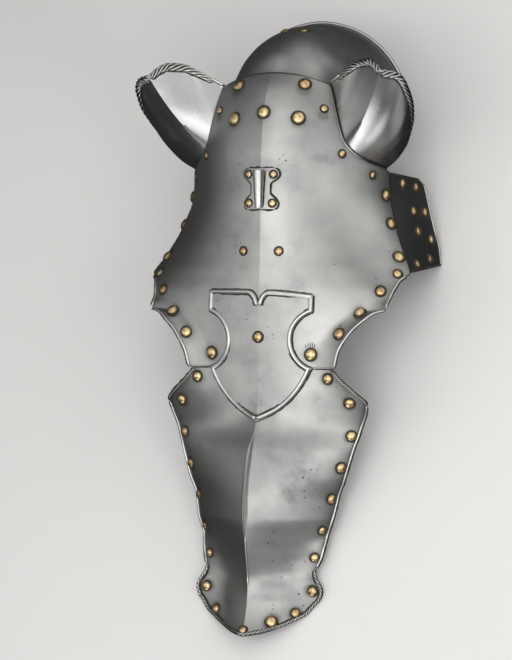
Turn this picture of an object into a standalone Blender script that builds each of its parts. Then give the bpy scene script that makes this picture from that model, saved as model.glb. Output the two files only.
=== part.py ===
"""Horse head armour: a riveted steel shaffron, lying on its back with the face up.

The plates lie in layers on one form, as sheets hammered over each other do. The form is a table of sections
from the poll down to the muzzle, and each plate has a table of its own for the outline that it takes from it.

The plates are worked out in millimetres in the horse's own frame: X runs across to the horse's left, Y up the
face to the poll, and Z out of the face. An empty turns that frame to the way the armour lies on a floor.
"""

import math
from typing import NamedTuple

import bmesh
import bpy
import numpy as np
from mathutils import Matrix, Vector

MM = 0.001

SHEET = 1.5  # thickness of the steel
GAP = 0.4  # between plates that lie on each other
LAYER = SHEET + GAP
FLANGE_DEPTH = 2.6  # from the form down to the ear guards' flanges, under the face plate
UNDER_DEPTH = 4.8  # and to the poll and side plates, under those
FLARE = 26.0  # breadth of the border that is turned out at the eyes
MUZZLE_FLARE = 34.0  # and at the muzzle
LONGEST_STEP = 14.0  # along a plate between two rows of its grid

LIE_TURN = 21.927  # degrees that the face dips to the nose as the armour lies
LIE_SHIFT = 42.07  # along the floor, so that the middle is over the origin
LIE_RISE = 135.74  # up, so that the lowest corners touch the floor

STEEL = (0.52, 0.53, 0.54, 1.0)
DARK_STEEL = (0.30, 0.31, 0.32, 1.0)
BRASS = (0.72, 0.53, 0.27, 1.0)


class Section(NamedTuple):
    """The form across the face, at one place along it."""

    y: float
    crest: float  # height of the ridge
    lean: float  # degrees that the sheet slopes at the ridge
    turn: float  # degrees of slope that it gains in 100 mm


class Outline(NamedTuple):
    """Where a plate ends at its side."""

    y: float
    bend: float  # how much further up its side end lies than its ridge end
    girth: float  # from the ridge to the edge, along the sheet
    lift: float  # how far the edge is turned out from the form
    tuck: float  # how far the plate lies under the form's surface


class Arch(NamedTuple):
    """A section of the poll plate, from its ridge to its lower corner."""

    crest_y: float
    crest_z: float
    side_x: float
    side_y: float
    side_z: float
    sweep: float  # degrees of the arc from ridge to corner


class Cheek(NamedTuple):
    """A section of a side plate, from the edge of the face plate back to its rear edge."""

    front_y: float
    rear_x: float
    rear_y: float
    rear_z: float


class Fold(NamedTuple):
    """A section of an ear guard, from its flange under the face plate up to its rim."""

    row: float  # of the face plate's outline, at whose end the guard rises
    rim_x: float
    rim_y: float
    rim_z: float
    belly: float  # how far it swells out half way up


class Reach(NamedTuple):
    """Half the breadth of a flat outline."""

    y: float
    reach: float


class Rivet(NamedTuple):
    """A rivet, or a pair of them, on the form."""

    name: str
    y: float
    girth: float
    radius: float
    depth: float  # from the form down to the lowest plate that it goes through


FORM = (
    Section(200, -35, 2, 46),
    Section(182, -18.7, 3, 47),
    Section(160, -4.2, 5.5, 47),
    Section(140, 3.6, 6.5, 45),
    Section(120, 7.3, 7, 43.5),
    Section(100, 8.7, 7.5, 42),
    Section(60, 8.5, 8, 41),
    Section(30, 8.5, 8, 35),
    Section(0, 8.5, 7, 27),
    Section(-22, 9, 5, 21),
    Section(-40, 9, 3, 18),
    Section(-60, 9, 2, 17),
    Section(-90, 8, 2, 15),
    Section(-118, 6, 2, 13),
    Section(-140, 6, 3, 14),
    Section(-160, 8, 8, 12),
    Section(-177, 14.5, 16, 8),
    Section(-200, 28, 21, 12),
    Section(-225, 36.5, 26, 14),
    Section(-250, 40, 28, 21),
    Section(-267, 39.5, 28, 21),
    Section(-284, 37, 35, 9),
    Section(-300, 34, 44, -17),
    Section(-315, 30.5, 46, -23),
    Section(-328, 28, 41, -8),
    Section(-340, 28, 33, 14),
    Section(-352, 29.5, 28, 29),
    Section(-364, 32.5, 28, 26),
    Section(-375, 37.5, 28, 28),
    Section(-383, 43, 28, 0),
)

FACE = (
    Outline(182, -13, 62, 0, 0),
    Outline(165, -12, 69, 0, 0),
    Outline(142, -10, 76, 0, 0),
    Outline(121, -6, 82, 0, 0),
    Outline(114, -4.5, 85, 0, 0),
    Outline(108, -3, 89, 0, 0),
    Outline(103, -2, 93.5, 0, 0),
    Outline(98, -1, 99.5, 0, 0),
    Outline(95, -0.5, 104.5, 0, 0),
    Outline(92, 0, 111, 0, 0),
    Outline(89.5, 0, 119, 0, 0),
    Outline(87.5, 0, 128, 0, 0),
    Outline(85.5, 0, 136, 0, 0),
    Outline(84, 0, 141, 0, 0),
    Outline(60, 0, 144, 0, 0),
    Outline(30, 0, 145.5, 0, 0),
    Outline(4, 0, 149, 0, 0),
    Outline(-20, 0, 154, 0, 0),
    Outline(-26, 0, 143, 0, 0),
    Outline(-33, 0, 137.5, 0, 0),
    Outline(-44, 0, 132, 1, 0),
    Outline(-56, 0, 127.5, 7, 0),
    Outline(-58.5, 0, 127, 8, 0),
    Outline(-61, 0, 117, 7.5, 0),
    Outline(-68, 0, 106.5, 8.5, 0),
    Outline(-77, 0, 96, 8, 0),
    Outline(-88, 0, 87.5, 7.5, 0),
    Outline(-100, 0, 81, 6.5, 0),
    Outline(-117, 0, 77, 5, 0),
)

NOSE = (
    Outline(-92, 0, 64, 0, LAYER),
    Outline(-106, 0, 69, 0, LAYER),
    Outline(-118, 0, 74, 2, LAYER),
    Outline(-128, 0, 82, 3, 1),
    Outline(-140, 0, 96, 3, 0),
    Outline(-153, 0, 109, 1, 0),
    Outline(-162, 0, 108, 0, 0),
    Outline(-177, 0, 105, 0, 0),
    Outline(-225, 0, 100.5, 0, 0),
    Outline(-250, 0, 96.5, 0, 0),
    Outline(-284, 0, 85.5, 0, 0),
    Outline(-296, 0, 80.5, 1, 0),
    Outline(-306, 0, 76.5, 3, 0),
    Outline(-316, 0, 71, 7, 0),
    Outline(-327, 0, 70, 13, 0),
    Outline(-338, 0, 72, 17, 0),
    Outline(-352, 0, 69, 14, 0),
    Outline(-363, 0, 62, 7, 0),
    Outline(-370, 0, 49, 2, 0),
    Outline(-376, 0, 34, 0, 0),
    Outline(-380, 0, 19, 0, 0),
    Outline(-382.5, 0, 4, 0, 0),
)

POLL = (
    Arch(205, -38, 62, 170, -60, 50),
    Arch(224, -61, 73, 166, -88, 62),
    Arch(237, -101, 87, 151, -124, 78),
    Arch(247, -155, 98.5, 130, -155, 100),
)
POLL_CREASE = 0.07  # share of its fall that is a straight slope from the ridge
POLL_TUCK = 12.0  # breadth of the strip under the face plate
POLL_INSET = 2.0  # how much narrower than the face plate it is there
POLL_KNOTS = (0, 0.09, 0.32, 0.52, 0.75, 1)  # shares of its cells at that strip's two sides and at each arch

CHEEK = (
    Cheek(83, 119, 80, -132),
    Cheek(77, 123, 71, -143),
    Cheek(54, 128, 51, -143),
    Cheek(28, 134, 28, -143),
    Cheek(5, 140, 6, -143),
    Cheek(-16, 142, -10, -142),
)

CHEEK_TUCK = 14.0  # breadth of the strip under the face plate
CHEEK_KNOTS = (0, 0.17, 1)  # shares of its cells at that strip's two sides and at the rear edge

EAR = (
    Fold(182, 57, 171.5, -31, 0),
    Fold(172, 69, 178.5, -25, 0.5),
    Fold(160, 82, 186, -18, 1),
    Fold(147, 96, 191.5, -11.5, 1.5),
    Fold(133, 108, 192, -4, 2),
    Fold(120, 118, 187, 3, 3),
    Fold(108, 125.5, 178.5, 9, 4),
    Fold(100, 139.5, 176.5, 1, 6),
    Fold(95, 146.5, 168, -9, 8),
    Fold(92, 148, 154.5, -23.5, 9),
    Fold(90, 144.5, 140.5, -39.5, 9),
    Fold(88, 137, 126, -54.5, 8),
    Fold(86.5, 127.5, 111.5, -67, 6),
    Fold(85.3, 117, 100.5, -74.5, 3),
    Fold(84.5, 106.5, 91.5, -77, 0),
)
EAR_RIDGE = 6  # the fold that is the ridge of the ear guard
EAR_FLANGE = 14.0  # breadth of the strip under the face plate
EAR_CLEAR = 3.4  # from the face plate's edge to the foot of the guard
EAR_FOOT = 0.2  # share of the guard's cells that make the flange
EAR_SWELL = (0.88, -0.42, 0.22)  # the way that its sides swell

SHIELD_TOP = -39.0
SHIELD_HALF = 56.0  # from its middle to its upper and lower corners
SHIELD_HIP = -117.0  # where the lower corners are
SHIELD_TIP = -171.0
SHIELD_TIP_HALF = 1.5
SCALLOP_RADIUS = 29.0  # of the hollow in each side
SCALLOP_Y = -89.0
POINT_RADIUS = 95.0  # of the curved sides down to the tip
POINT_X = -34.5
POINT_Y = -82.5
NOTCH_DEPTH = 8.0
NOTCH_WIDTH = 5.0

HOLDER = (
    Reach(83, 14),
    Reach(80.5, 17.5),
    Reach(77, 18.6),
    Reach(73.5, 17),
    Reach(70, 12),
    Reach(66, 9.5),
    Reach(58, 9.5),
    Reach(54.5, 12),
    Reach(51, 16),
    Reach(47.7, 17.6),
    Reach(44, 16.5),
    Reach(42, 14),
)
TUBE_TOP = 81.0
TUBE_BOTTOM = 43.0
TUBE_TOP_RADIUS = 5.6
TUBE_BOTTOM_RADIUS = 3.7
TUBE_WALL = 0.9
TUBE_SIDES = 20
TUBE_SINK = 0.7  # how far the tube is let into its base

SHANK = 2.0  # radius of a rivet's shank
SMALL_SHANK = 1.5
SMALL_HEAD = 4.0  # heads under this radius have the small shank
SEAT = 0.3  # from the plate to the underside of a head, and more on a wide head, because the plate is bowed
BOW = 0.09
FOOT_GAP = 0.7  # from the lowest plate to a tail
HEAD_RISE = 0.45  # height of a head as a share of its radius
CLEARING = 1.08  # radius that the plate must clear round a head, as a share of the head's
HOLE_PLAY = 0.35
HOLE_DEPTH = 11.0
TAIL = 0.9  # how much wider than its shank a tail is
TAIL_THICKNESS = 0.5

FACE_RIVETS = (
    Rivet("brow_upper", 169, 37, 6, UNDER_DEPTH),
    Rivet("brow_lower", 134, 36, 6.5, 0),
    Rivet("brow_middle", 139.5, 0, 6, 0),
    Rivet("ear_upper", 144, 61, 3.6, FLANGE_DEPTH),
    Rivet("ear_middle", 99, 83, 3.6, FLANGE_DEPTH),
    Rivet("ear_lower", 79, 119, 3.6, FLANGE_DEPTH),
    Rivet("cheek_1", 59, 137, 6.2, UNDER_DEPTH),
    Rivet("cheek_2", 30, 139.5, 6, UNDER_DEPTH),
    Rivet("cheek_3", -4, 143, 6.2, UNDER_DEPTH),
    Rivet("eye_1", -21, 140, 4.6, 0),
    Rivet("eye_2", -39, 123, 5, 0),
    Rivet("eye_3", -61, 103, 5.6, 0),
    Rivet("eye_4", -82, 83, 5.4, 0),
    Rivet("neck", -103, 54, 6, LAYER),
)
NOSE_RIVETS = (
    Rivet("nose_1", -127, 71, 4.9, 0),
    Rivet("nose_2", -151, 93, 5.2, 0),
    Rivet("nose_3", -184, 98, 5.2, 0),
    Rivet("nose_4", -216, 95.5, 5.2, 0),
    Rivet("nose_5", -247.5, 91, 5.1, 0),
    Rivet("nose_6", -279, 81, 4.1, 0),
    Rivet("nose_7", -306, 71, 4.3, 0),
    Rivet("muzzle_1", -340, 64, 4.9, 0),
    Rivet("muzzle_2", -362, 50, 4.7, 0),
)
MUZZLE_RIVET = Rivet("muzzle_middle", -369.5, 27, 6, 0)
SHIELD_RIVET = Rivet("shield", -86, 0, 5, LAYER)
HOLDER_RIVETS = (
    Rivet("holder_upper", 77, 13, 3.6, LAYER),
    Rivet("holder_lower", 48, 12.3, 3.6, LAYER),
)


# ---- the form ----


def smooth(rows, at):
    """The columns of a table at any places along its first column, by monotone cubics through its rows."""
    table = np.array(sorted(rows), float)
    knots, values = table[:, 0], table[:, 1:]
    gaps = np.diff(knots)[:, None]
    rises = np.diff(values, axis=0) / gaps
    slopes = np.zeros_like(values)
    slopes[0], slopes[-1] = rises[0], rises[-1]
    before, after = rises[:-1], rises[1:]
    weight_before, weight_after = 2 * gaps[1:] + gaps[:-1], gaps[1:] + 2 * gaps[:-1]
    same_way = before * after > 0
    bottom = np.where(same_way, weight_before * after + weight_after * before, 1.0)
    slopes[1:-1] = np.where(same_way, (weight_before + weight_after) * before * after / bottom, 0.0)

    at = np.asarray(at, float)
    index = np.clip(np.searchsorted(knots, at) - 1, 0, len(knots) - 2)
    gap = gaps[index, 0]
    part = ((at - knots[index]) / gap)[..., None]
    gap = gap[..., None]
    found = (
        values[index] * (1 + 2 * part) * (1 - part) ** 2
        + slopes[index] * gap * part * (1 - part) ** 2
        + values[index + 1] * part**2 * (3 - 2 * part)
        - slopes[index + 1] * gap * part**2 * (1 - part)
    )
    return np.moveaxis(found, -1, 0)


def bare_form(y, girth):
    """Points of the form's surface at these places along it and these girths from its ridge."""
    crest, lean, turn = smooth(FORM, y)
    half = np.radians(turn) / 100 * girth / 2
    mean = np.radians(lean) + half
    chord = girth * np.sinc(half / np.pi)
    return np.stack([chord * np.cos(mean), y, crest - chord * np.sin(mean)], axis=-1)


def normals_of(surface, y, girth):
    """Outward unit normals of a surface that is a function of y and girth."""
    step = 0.05
    along = surface(y + step, girth) - surface(y - step, girth)
    across = surface(y, girth + step) - surface(y, girth - step)
    normal = np.cross(across, along)
    return normal / np.linalg.norm(normal, axis=-1, keepdims=True)


def on_form(y, girth, height=0.0):
    """Points that stand off the form's surface by a height."""
    y, girth, height = np.broadcast_arrays(np.asarray(y, float), girth, height)
    normal = normals_of(bare_form, y, girth)
    at_ridge = girth == 0
    normal[at_ridge, 0] = 0
    return bare_form(y, girth) + normal * height[..., None]


def turned_out(outline, edge, girth):
    """How far into a plate's turned-out border a place lies, from 0 at its root to 1 at the edge."""
    flare = MUZZLE_FLARE if outline is NOSE else FLARE
    return np.clip(1 - (edge - np.asarray(girth)) / flare, 0, None)


def on_plate(outline, y, girth, height=0.0):
    """Points of a plate's outer surface, with its turned-out border and its tuck under its neighbour."""
    _, edge, lift, tuck = smooth(outline, y)
    border = turned_out(outline, edge, girth)
    return on_form(y, girth, height - tuck + lift * border**2)


# ---- making objects ----


def new_material(name, colour, roughness):
    material = bpy.data.materials.new(name)
    material.use_nodes = True
    shader = material.node_tree.nodes["Principled BSDF"]
    shader.inputs["Base Color"].default_value = colour
    shader.inputs["Metallic"].default_value = 1.0
    shader.inputs["Roughness"].default_value = roughness
    material.diffuse_color = colour
    return material


def new_object(name, mesh, collection, material=None):
    """An object of this mesh in the collection, with its round faces shaded smooth."""
    if material:
        mesh.materials.append(material)
        mesh.shade_smooth()
        mesh.set_sharp_from_angle(angle=math.radians(35))
    piece = bpy.data.objects.new(name, mesh)
    collection.objects.link(piece)
    return piece


def sheet_of(name, across, along, place, outside):
    """An open sheet that faces the point outside: a grid whose corners go where place puts their shares."""
    grid = bmesh.new()
    bmesh.ops.create_grid(grid, x_segments=across, y_segments=along, size=0.5)
    shares = np.array([corner.co[:2] for corner in grid.verts]) + 0.5
    for corner, point in zip(grid.verts, place(shares[:, 0], shares[:, 1])):
        corner.co = Vector(point) * MM
    bmesh.ops.recalc_face_normals(grid, faces=grid.faces[:])
    if sum(face.normal.dot(outside * MM - face.calc_center_median()) for face in grid.faces) < 0:
        bmesh.ops.reverse_faces(grid, faces=grid.faces[:])
    mesh = bpy.data.meshes.new(name)
    grid.to_mesh(mesh)
    grid.free()
    return mesh


def mirror(piece):
    modifier = piece.modifiers.new("both_sides", "MIRROR")
    modifier.use_clip = True
    modifier.merge_threshold = 0.00005


def thicken(piece):
    modifier = piece.modifiers.new("thickness", "SOLIDIFY")
    modifier.thickness = SHEET * MM
    modifier.offset = -1
    modifier.use_even_offset = True


def combine(piece, other, operation):
    modifier = piece.modifiers.new(other.name, "BOOLEAN")
    modifier.operation = operation
    modifier.solver = "EXACT"
    modifier.object = other


def spread(stops, share):
    """Places along a row of stops, with as many shares between each two."""
    return np.interp(share * (len(stops) - 1), np.arange(len(stops)), stops)


def through(knots, points, shares):
    """Points along a smooth curve through the points at the knots."""
    rows = [(knot, *point) for knot, point in zip(knots, points)]
    return np.stack(smooth(rows, shares), axis=-1)


# ---- plates ----


def edge_of(outline, row):
    """The place along the form and the girth at which a row of a plate ends."""
    bend, girth = smooth(outline, row)[:2]
    return row + bend, girth


def stations(outline):
    """The rows of a plate's grid: those of its outline, with more between those that lie far apart."""
    found = [outline[0].y]
    for first, second in zip(outline, outline[1:]):
        parts = math.ceil((first.y - second.y) / LONGEST_STEP)
        found.extend(np.linspace(first.y, second.y, parts + 1)[1:])
    return found


def plate_place(outline):
    """How the plate of this outline lies: from its ridge to its edge, and from its first row to its last."""

    def place(across, along):
        row = spread(stations(outline), along)
        bend, edge, lift, tuck = smooth(outline, row)
        girth = edge * across
        border = turned_out(outline, edge, girth)
        return on_form(row + bend * across**2, girth, lift * border**2 - tuck)

    return place


def poll_place(across, along):
    """The poll plate's points, from under the face plate's upper edge back to its rear rim."""
    points = np.empty((len(across), 3))
    seam = FACE[0]
    for share in np.unique(across):
        y = seam.y + seam.bend * share**2
        girth = (seam.girth - POLL_INSET) * share
        curve = [on_form(y - POLL_TUCK, girth, -UNDER_DEPTH), on_form(y, girth, -UNDER_DEPTH)]
        for arch in POLL:
            angle, sweep = math.radians(arch.sweep) * share, math.radians(arch.sweep)
            fall = (1 - math.cos(angle)) / (1 - math.cos(sweep))
            fall += POLL_CREASE * (share - fall)
            curve.append(
                (
                    arch.side_x * math.sin(angle) / math.sin(sweep),
                    arch.crest_y + (arch.side_y - arch.crest_y) * fall,
                    arch.crest_z + (arch.side_z - arch.crest_z) * fall,
                )
            )
        here = across == share
        points[here] = through(POLL_KNOTS, curve, along[here])
    return points


def cheek_place(across, along):
    """The left side plate's points, from under the face plate's edge back to its rear edge."""
    points = np.empty((len(across), 3))
    index = along * (len(CHEEK) - 1)
    rows = [(number, *row) for number, row in enumerate(CHEEK)]
    for share in np.unique(along):
        here = along == share
        front_y, rear_x, rear_y, rear_z = smooth(rows, index[here][0])
        edge = smooth(FACE, front_y)[1]
        curve = (
            on_form(front_y, edge - CHEEK_TUCK, -UNDER_DEPTH),
            on_form(front_y, edge - 1, -UNDER_DEPTH),
            (rear_x, rear_y, rear_z),
        )
        points[here] = through(CHEEK_KNOTS, curve, across[here])
    return points


def ear_place(across, along):
    """The left ear guard's points, from its inner end to its outer end, and from flange to rim."""
    rows = [(number, *fold) for number, fold in enumerate(EAR)]
    index = across * (len(EAR) - 1)
    inner = np.stack(smooth(rows[: EAR_RIDGE + 1], index))
    outer = np.stack(smooth(rows[EAR_RIDGE:], index))
    fold = Fold(*np.where(index <= EAR_RIDGE, inner, outer))

    edge_y, edge_girth = edge_of(FACE, fold.row)
    next_y, next_girth = edge_of(FACE, fold.row - 0.1)
    length = np.hypot(next_y - edge_y, next_girth - edge_girth)
    out_y, out_girth = (next_girth - edge_girth) / length, (edge_y - next_y) / length
    hidden = np.clip(along / EAR_FOOT, 0, 1)
    beyond = EAR_CLEAR - EAR_FLANGE * (1 - hidden)
    foot = on_form(edge_y + out_y * beyond, edge_girth + out_girth * beyond, -FLANGE_DEPTH)

    shown = np.clip((along - EAR_FOOT) / (1 - EAR_FOOT), 0, 1)[:, None]
    rim = np.stack([fold.rim_x, fold.rim_y, fold.rim_z], axis=-1)
    swell = np.sin(np.pi * shown) * fold.belly[:, None] * np.array(EAR_SWELL)
    return foot + (rim - foot) * shown + swell


def shield_reach(y):
    """Half the shield's breadth, by the hollows in its sides and the curves down to its tip."""
    hollow_x = SHIELD_HALF + math.sqrt(SCALLOP_RADIUS**2 - (SHIELD_HIP - SCALLOP_Y) ** 2)
    hollow = hollow_x - np.sqrt(np.clip(SCALLOP_RADIUS**2 - (y - SCALLOP_Y) ** 2, 0, None))
    point = POINT_X + np.sqrt(POINT_RADIUS**2 - (y - POINT_Y) ** 2)
    reach = np.where(y < SHIELD_HIP, point, np.minimum(hollow, SHIELD_HALF))
    return np.clip(reach, SHIELD_TIP_HALF, None)


def shield_place(across, along):
    """The shield's points, on top of the face and nose plates."""
    hollow_top = 2 * SCALLOP_Y - SHIELD_HIP
    y = spread((SHIELD_TOP, hollow_top, SHIELD_HIP, SHIELD_TIP), along)
    girth = shield_reach(y) * across
    fade = np.clip((y - hollow_top) / (SHIELD_TOP - hollow_top), 0, 1)
    notch = NOTCH_DEPTH * np.exp(-((girth / NOTCH_WIDTH) ** 2)) * fade
    return on_form(y - notch, girth, LAYER)


def holder_place(across, along):
    """The plume holder's base: a strap with four rounded lobes over the ridge."""
    y = spread([row.y for row in HOLDER], along)
    return on_form(y, smooth(HOLDER, y)[0] * across, LAYER)


def tube(helpers):
    """The plume holder's tapered tube, which lies along the ridge and is open at both ends."""
    bottom, top = (
        Vector((0, y, bare_form(y, 0.0)[2] + LAYER + radius - TUBE_SINK))
        for y, radius in ((TUBE_BOTTOM, TUBE_BOTTOM_RADIUS), (TUBE_TOP, TUBE_TOP_RADIUS))
    )
    axis = top - bottom
    section = bmesh.new()
    corners = [
        section.verts.new((radius * MM, 0, height * MM))
        for radius, height in (
            (TUBE_BOTTOM_RADIUS, 0),
            (TUBE_TOP_RADIUS, axis.length),
            (TUBE_TOP_RADIUS - TUBE_WALL, axis.length),
            (TUBE_BOTTOM_RADIUS - TUBE_WALL, 0),
        )
    ]
    for first, second in zip(corners, corners[1:] + corners[:1]):
        section.edges.new((first, second))
    bmesh.ops.spin(
        section,
        geom=section.verts[:] + section.edges[:],
        axis=(0, 0, 1),
        angle=2 * math.pi,
        steps=TUBE_SIDES,
        use_merge=True,
    )
    bmesh.ops.recalc_face_normals(section, faces=section.faces[:])
    bmesh.ops.rotate(section, verts=section.verts[:], matrix=axis.to_track_quat("Z", "Y").to_matrix())
    bmesh.ops.translate(section, verts=section.verts[:], vec=bottom * MM)
    mesh = bpy.data.meshes.new("tube")
    section.to_mesh(mesh)
    section.free()
    return new_object("tube", mesh, helpers)


# ---- rivets ----


class Seat(NamedTuple):
    """Where a rivet of the left side goes through its plate."""

    place: Vector
    normal: Vector  # out of the plate
    height: float  # of the head's underside over the plate


def seat_of(surface, rivet):
    """The seat of a rivet on a surface, just high enough for the surface round it to clear its head."""
    y, girth = np.array([rivet.y]), np.array([float(rivet.girth)])
    place, normal = surface(y, girth)[0], normals_of(surface, y, girth)[0]
    if rivet.girth == 0:
        normal[0] = 0
        normal /= np.linalg.norm(normal)
    turns = np.linspace(0, 2 * np.pi, 16, endpoint=False)
    reach = CLEARING * rivet.radius
    rim = surface(y + reach * np.cos(turns), np.abs(girth + reach * np.sin(turns)))
    rise = max(0, ((rim - place) @ normal).max())
    return Seat(Vector(place), Vector(normal), SEAT + BOW * rivet.radius + rise)


def shank_of(rivet):
    return SMALL_SHANK if rivet.radius < SMALL_HEAD else SHANK


def rivet_mesh(rivet, seat, material):
    """Half the section of a rivet: its domed head, its shank and its tail."""
    shank, radius = shank_of(rivet), rivet.radius
    foot = -seat.height - rivet.depth - SHEET - FOOT_GAP
    rise = HEAD_RISE * radius
    outline = (
        (0, rise),
        (0.5 * radius, 0.87 * rise),
        (0.87 * radius, 0.5 * rise),
        (radius, 0),
        (shank, 0),
        (shank, foot),
        (shank + TAIL, foot),
        (shank + TAIL, foot - TAIL_THICKNESS),
        (0, foot - TAIL_THICKNESS),
    )
    section = bmesh.new()
    corners = [section.verts.new((x * MM, 0, z * MM)) for x, z in outline]
    for first, second in zip(corners, corners[1:]):
        section.edges.new((first, second))
    mesh = bpy.data.meshes.new(rivet.name)
    section.to_mesh(mesh)
    section.free()
    mesh.materials.append(material)
    return mesh


def turned(piece):
    turning = piece.modifiers.new("turning", "SCREW")
    turning.steps = turning.render_steps = 10
    turning.use_merge_vertices = True
    turning.merge_threshold = 0.00005


def drill(holes, rivet, place, normal):
    """Adds a round cutter to the holes, where this rivet goes through the plates."""
    turn = normal.to_track_quat("Z", "Y").to_matrix().to_4x4()
    radius = (shank_of(rivet) + HOLE_PLAY) * MM
    middle = place - normal * (HOLE_DEPTH / 2 - LAYER)
    bmesh.ops.create_cone(
        holes,
        cap_ends=True,
        segments=8,
        radius1=radius,
        radius2=radius,
        depth=HOLE_DEPTH * MM,
        matrix=Matrix.Translation(middle * MM) @ turn,
    )


def add_rivets(collection, material, holes):
    """All the rivets, and the holes for them."""
    sets = (
        (lambda y, girth: on_plate(FACE, y, girth), FACE_RIVETS),
        (lambda y, girth: on_plate(NOSE, y, girth), NOSE_RIVETS + (MUZZLE_RIVET,)),
        (lambda y, girth: on_form(y, girth, LAYER), HOLDER_RIVETS + (SHIELD_RIVET,)),
    )
    pieces = []
    for surface, rivets in sets:
        for rivet in rivets:
            seat = seat_of(surface, rivet)
            mesh = rivet_mesh(rivet, seat, material)
            paired = rivet.girth > 0 and rivet is not MUZZLE_RIVET
            for side, sign in (("left", 1), ("right", -1))[: 1 + paired]:
                mirrored = Vector((sign, 1, 1))
                here, way = seat.place * mirrored, seat.normal * mirrored
                name = f"rivet_{rivet.name}_{side}" if paired else f"rivet_{rivet.name}"
                piece = new_object(name, mesh, collection)
                piece.location = (here + way * seat.height) * MM
                piece.rotation_mode = "QUATERNION"
                piece.rotation_quaternion = way.to_track_quat("Z", "Y")
                turned(piece)
                drill(holes, rivet, here, way)
                pieces.append(piece)
    return pieces


# ---- the armour ----


def new_collection(name):
    collection = bpy.data.collections.new(name)
    bpy.context.scene.collection.children.link(collection)
    return collection


def helper(piece):
    piece.hide_render = True
    piece.display_type = "WIRE"
    return piece


def main():
    for old in list(bpy.data.objects):
        bpy.data.objects.remove(old, do_unlink=True)
    armour, helpers = new_collection("horse_head_armour"), new_collection("helpers")
    steel = new_material("steel", STEEL, 0.32)
    dark_steel = new_material("dark_steel", DARK_STEEL, 0.42)
    brass = new_material("brass", BRASS, 0.3)
    above = Vector((0, 0, 400))

    whole = []
    for name, across, steps, place in (
        ("face_plate", 10, len(stations(FACE)) - 1, plate_place(FACE)),
        ("nose_plate", 7, len(stations(NOSE)) - 1, plate_place(NOSE)),
        ("poll_plate", 8, 11, poll_place),
        ("escutcheon", 5, 15, shield_place),
        ("plume_holder", 4, len(HOLDER) - 1, holder_place),
    ):
        piece = new_object(name, sheet_of(name, across, steps, place, above), armour, steel)
        mirror(piece)
        thicken(piece)
        whole.append(piece)
    combine(whole[-1], helper(tube(helpers)), "UNION")

    for name, across, steps, place, outside, finish in (
        ("side_plate", 6, 8, cheek_place, Vector((400, 0, 0)), dark_steel),
        ("ear_guard", 14, 5, ear_place, Vector((300, -200, 200)), steel),
    ):
        for side, sign in (("left", 1), ("right", -1)):
            mirrored = Vector((sign, 1, 1))
            mesh = sheet_of(
                f"{name}_{side}",
                across,
                steps,
                lambda u, v, place=place, mirrored=mirrored: place(u, v) * np.array(mirrored),
                outside * mirrored,
            )
            piece = new_object(f"{name}_{side}", mesh, armour, finish)
            thicken(piece)
            whole.append(piece)

    holes = bmesh.new()
    rivets = add_rivets(armour, brass, holes)
    mesh = bpy.data.meshes.new("rivet_holes")
    holes.to_mesh(mesh)
    holes.free()
    cutter = helper(new_object("rivet_holes", mesh, helpers))
    for piece in whole:
        combine(piece, cutter, "DIFFERENCE")

    lie = bpy.data.objects.new("lie", None)
    armour.objects.link(lie)
    lie.location = (0, LIE_SHIFT * MM, LIE_RISE * MM)
    lie.rotation_euler = (math.radians(LIE_TURN), 0, 0)
    for piece in [*whole, *rivets, *helpers.objects]:
        piece.parent = lie


main()
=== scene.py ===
"""Horse head armour: fine plates, turned and roped borders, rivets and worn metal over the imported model.

The plates are worked out in millimetres in the horse's own frame: X runs across to the horse's left, Y up
the face to the poll, and Z out of the face. Each finished mesh is then laid down in the row frame.
"""

import logging
import math
import random
from collections.abc import Callable, Sequence
from dataclasses import dataclass, field
from enum import Enum
from typing import NamedTuple

import bmesh
import bpy
import numpy as np
from mathutils import Matrix, Vector, noise


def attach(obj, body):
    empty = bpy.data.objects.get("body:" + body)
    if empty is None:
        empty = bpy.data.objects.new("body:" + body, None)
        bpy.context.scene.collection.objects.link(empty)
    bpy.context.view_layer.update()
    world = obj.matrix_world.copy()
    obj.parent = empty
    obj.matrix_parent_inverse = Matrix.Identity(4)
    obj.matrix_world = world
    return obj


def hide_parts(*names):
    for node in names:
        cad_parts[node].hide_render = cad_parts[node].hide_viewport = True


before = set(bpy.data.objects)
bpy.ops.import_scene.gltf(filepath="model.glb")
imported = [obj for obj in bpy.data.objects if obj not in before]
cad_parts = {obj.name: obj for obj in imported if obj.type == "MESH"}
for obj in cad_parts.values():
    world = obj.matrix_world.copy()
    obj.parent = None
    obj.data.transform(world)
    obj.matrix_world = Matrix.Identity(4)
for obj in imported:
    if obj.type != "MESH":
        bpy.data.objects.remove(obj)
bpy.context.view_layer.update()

LOG = logging.getLogger("horse_head_armour")
MM = 0.001
BODY = "root"
DIRT_AND_SHADE = "dirt"  # name of the vertex attribute that darkens corners and grooves: dirt, and painted shade

STEP = 0.05  # half step of the differences that slopes are worked out from
SHARE_STEP = 0.002  # and where places are shares of a surface
HAMMER_DEPTH = 0.07  # of the hammer's marks
SHEET = 1.5  # thickness of the steel
GAP = 0.4  # between plates that lie on each other
LAYER = SHEET + GAP
FLANGE_DEPTH = 2.6  # from the form down to the ear guards' flanges
UNDER_DEPTH = 4.8  # and to the poll and side plates

LIE = (
    Matrix.Diagonal((MM, MM, MM, 1))
    @ Matrix.Translation((0, 42.07, 135.74))
    @ Matrix.Rotation(math.radians(21.927), 4, "X")
)

Array = np.ndarray
Place = Callable[[Array, Array], Array]
Build = bmesh.types.BMesh
Corners = list[bmesh.types.BMVert]
Material = bpy.types.Material
Object = bpy.types.Object
Socket = bpy.types.NodeSocket
Colour = tuple[float, float, float]

OUT = np.array([0.0, 0.0, 1.0])  # straight out of the face
OUTSIDE = (0, 0, 400)  # a place well out from the face
SHARP_SHEET = 40.0  # degrees beyond which a plate's edges stay sharp
SHARP_ROLL = 60.0  # and a border's
SEAM = 1e-4  # corners closer than this are one


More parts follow.
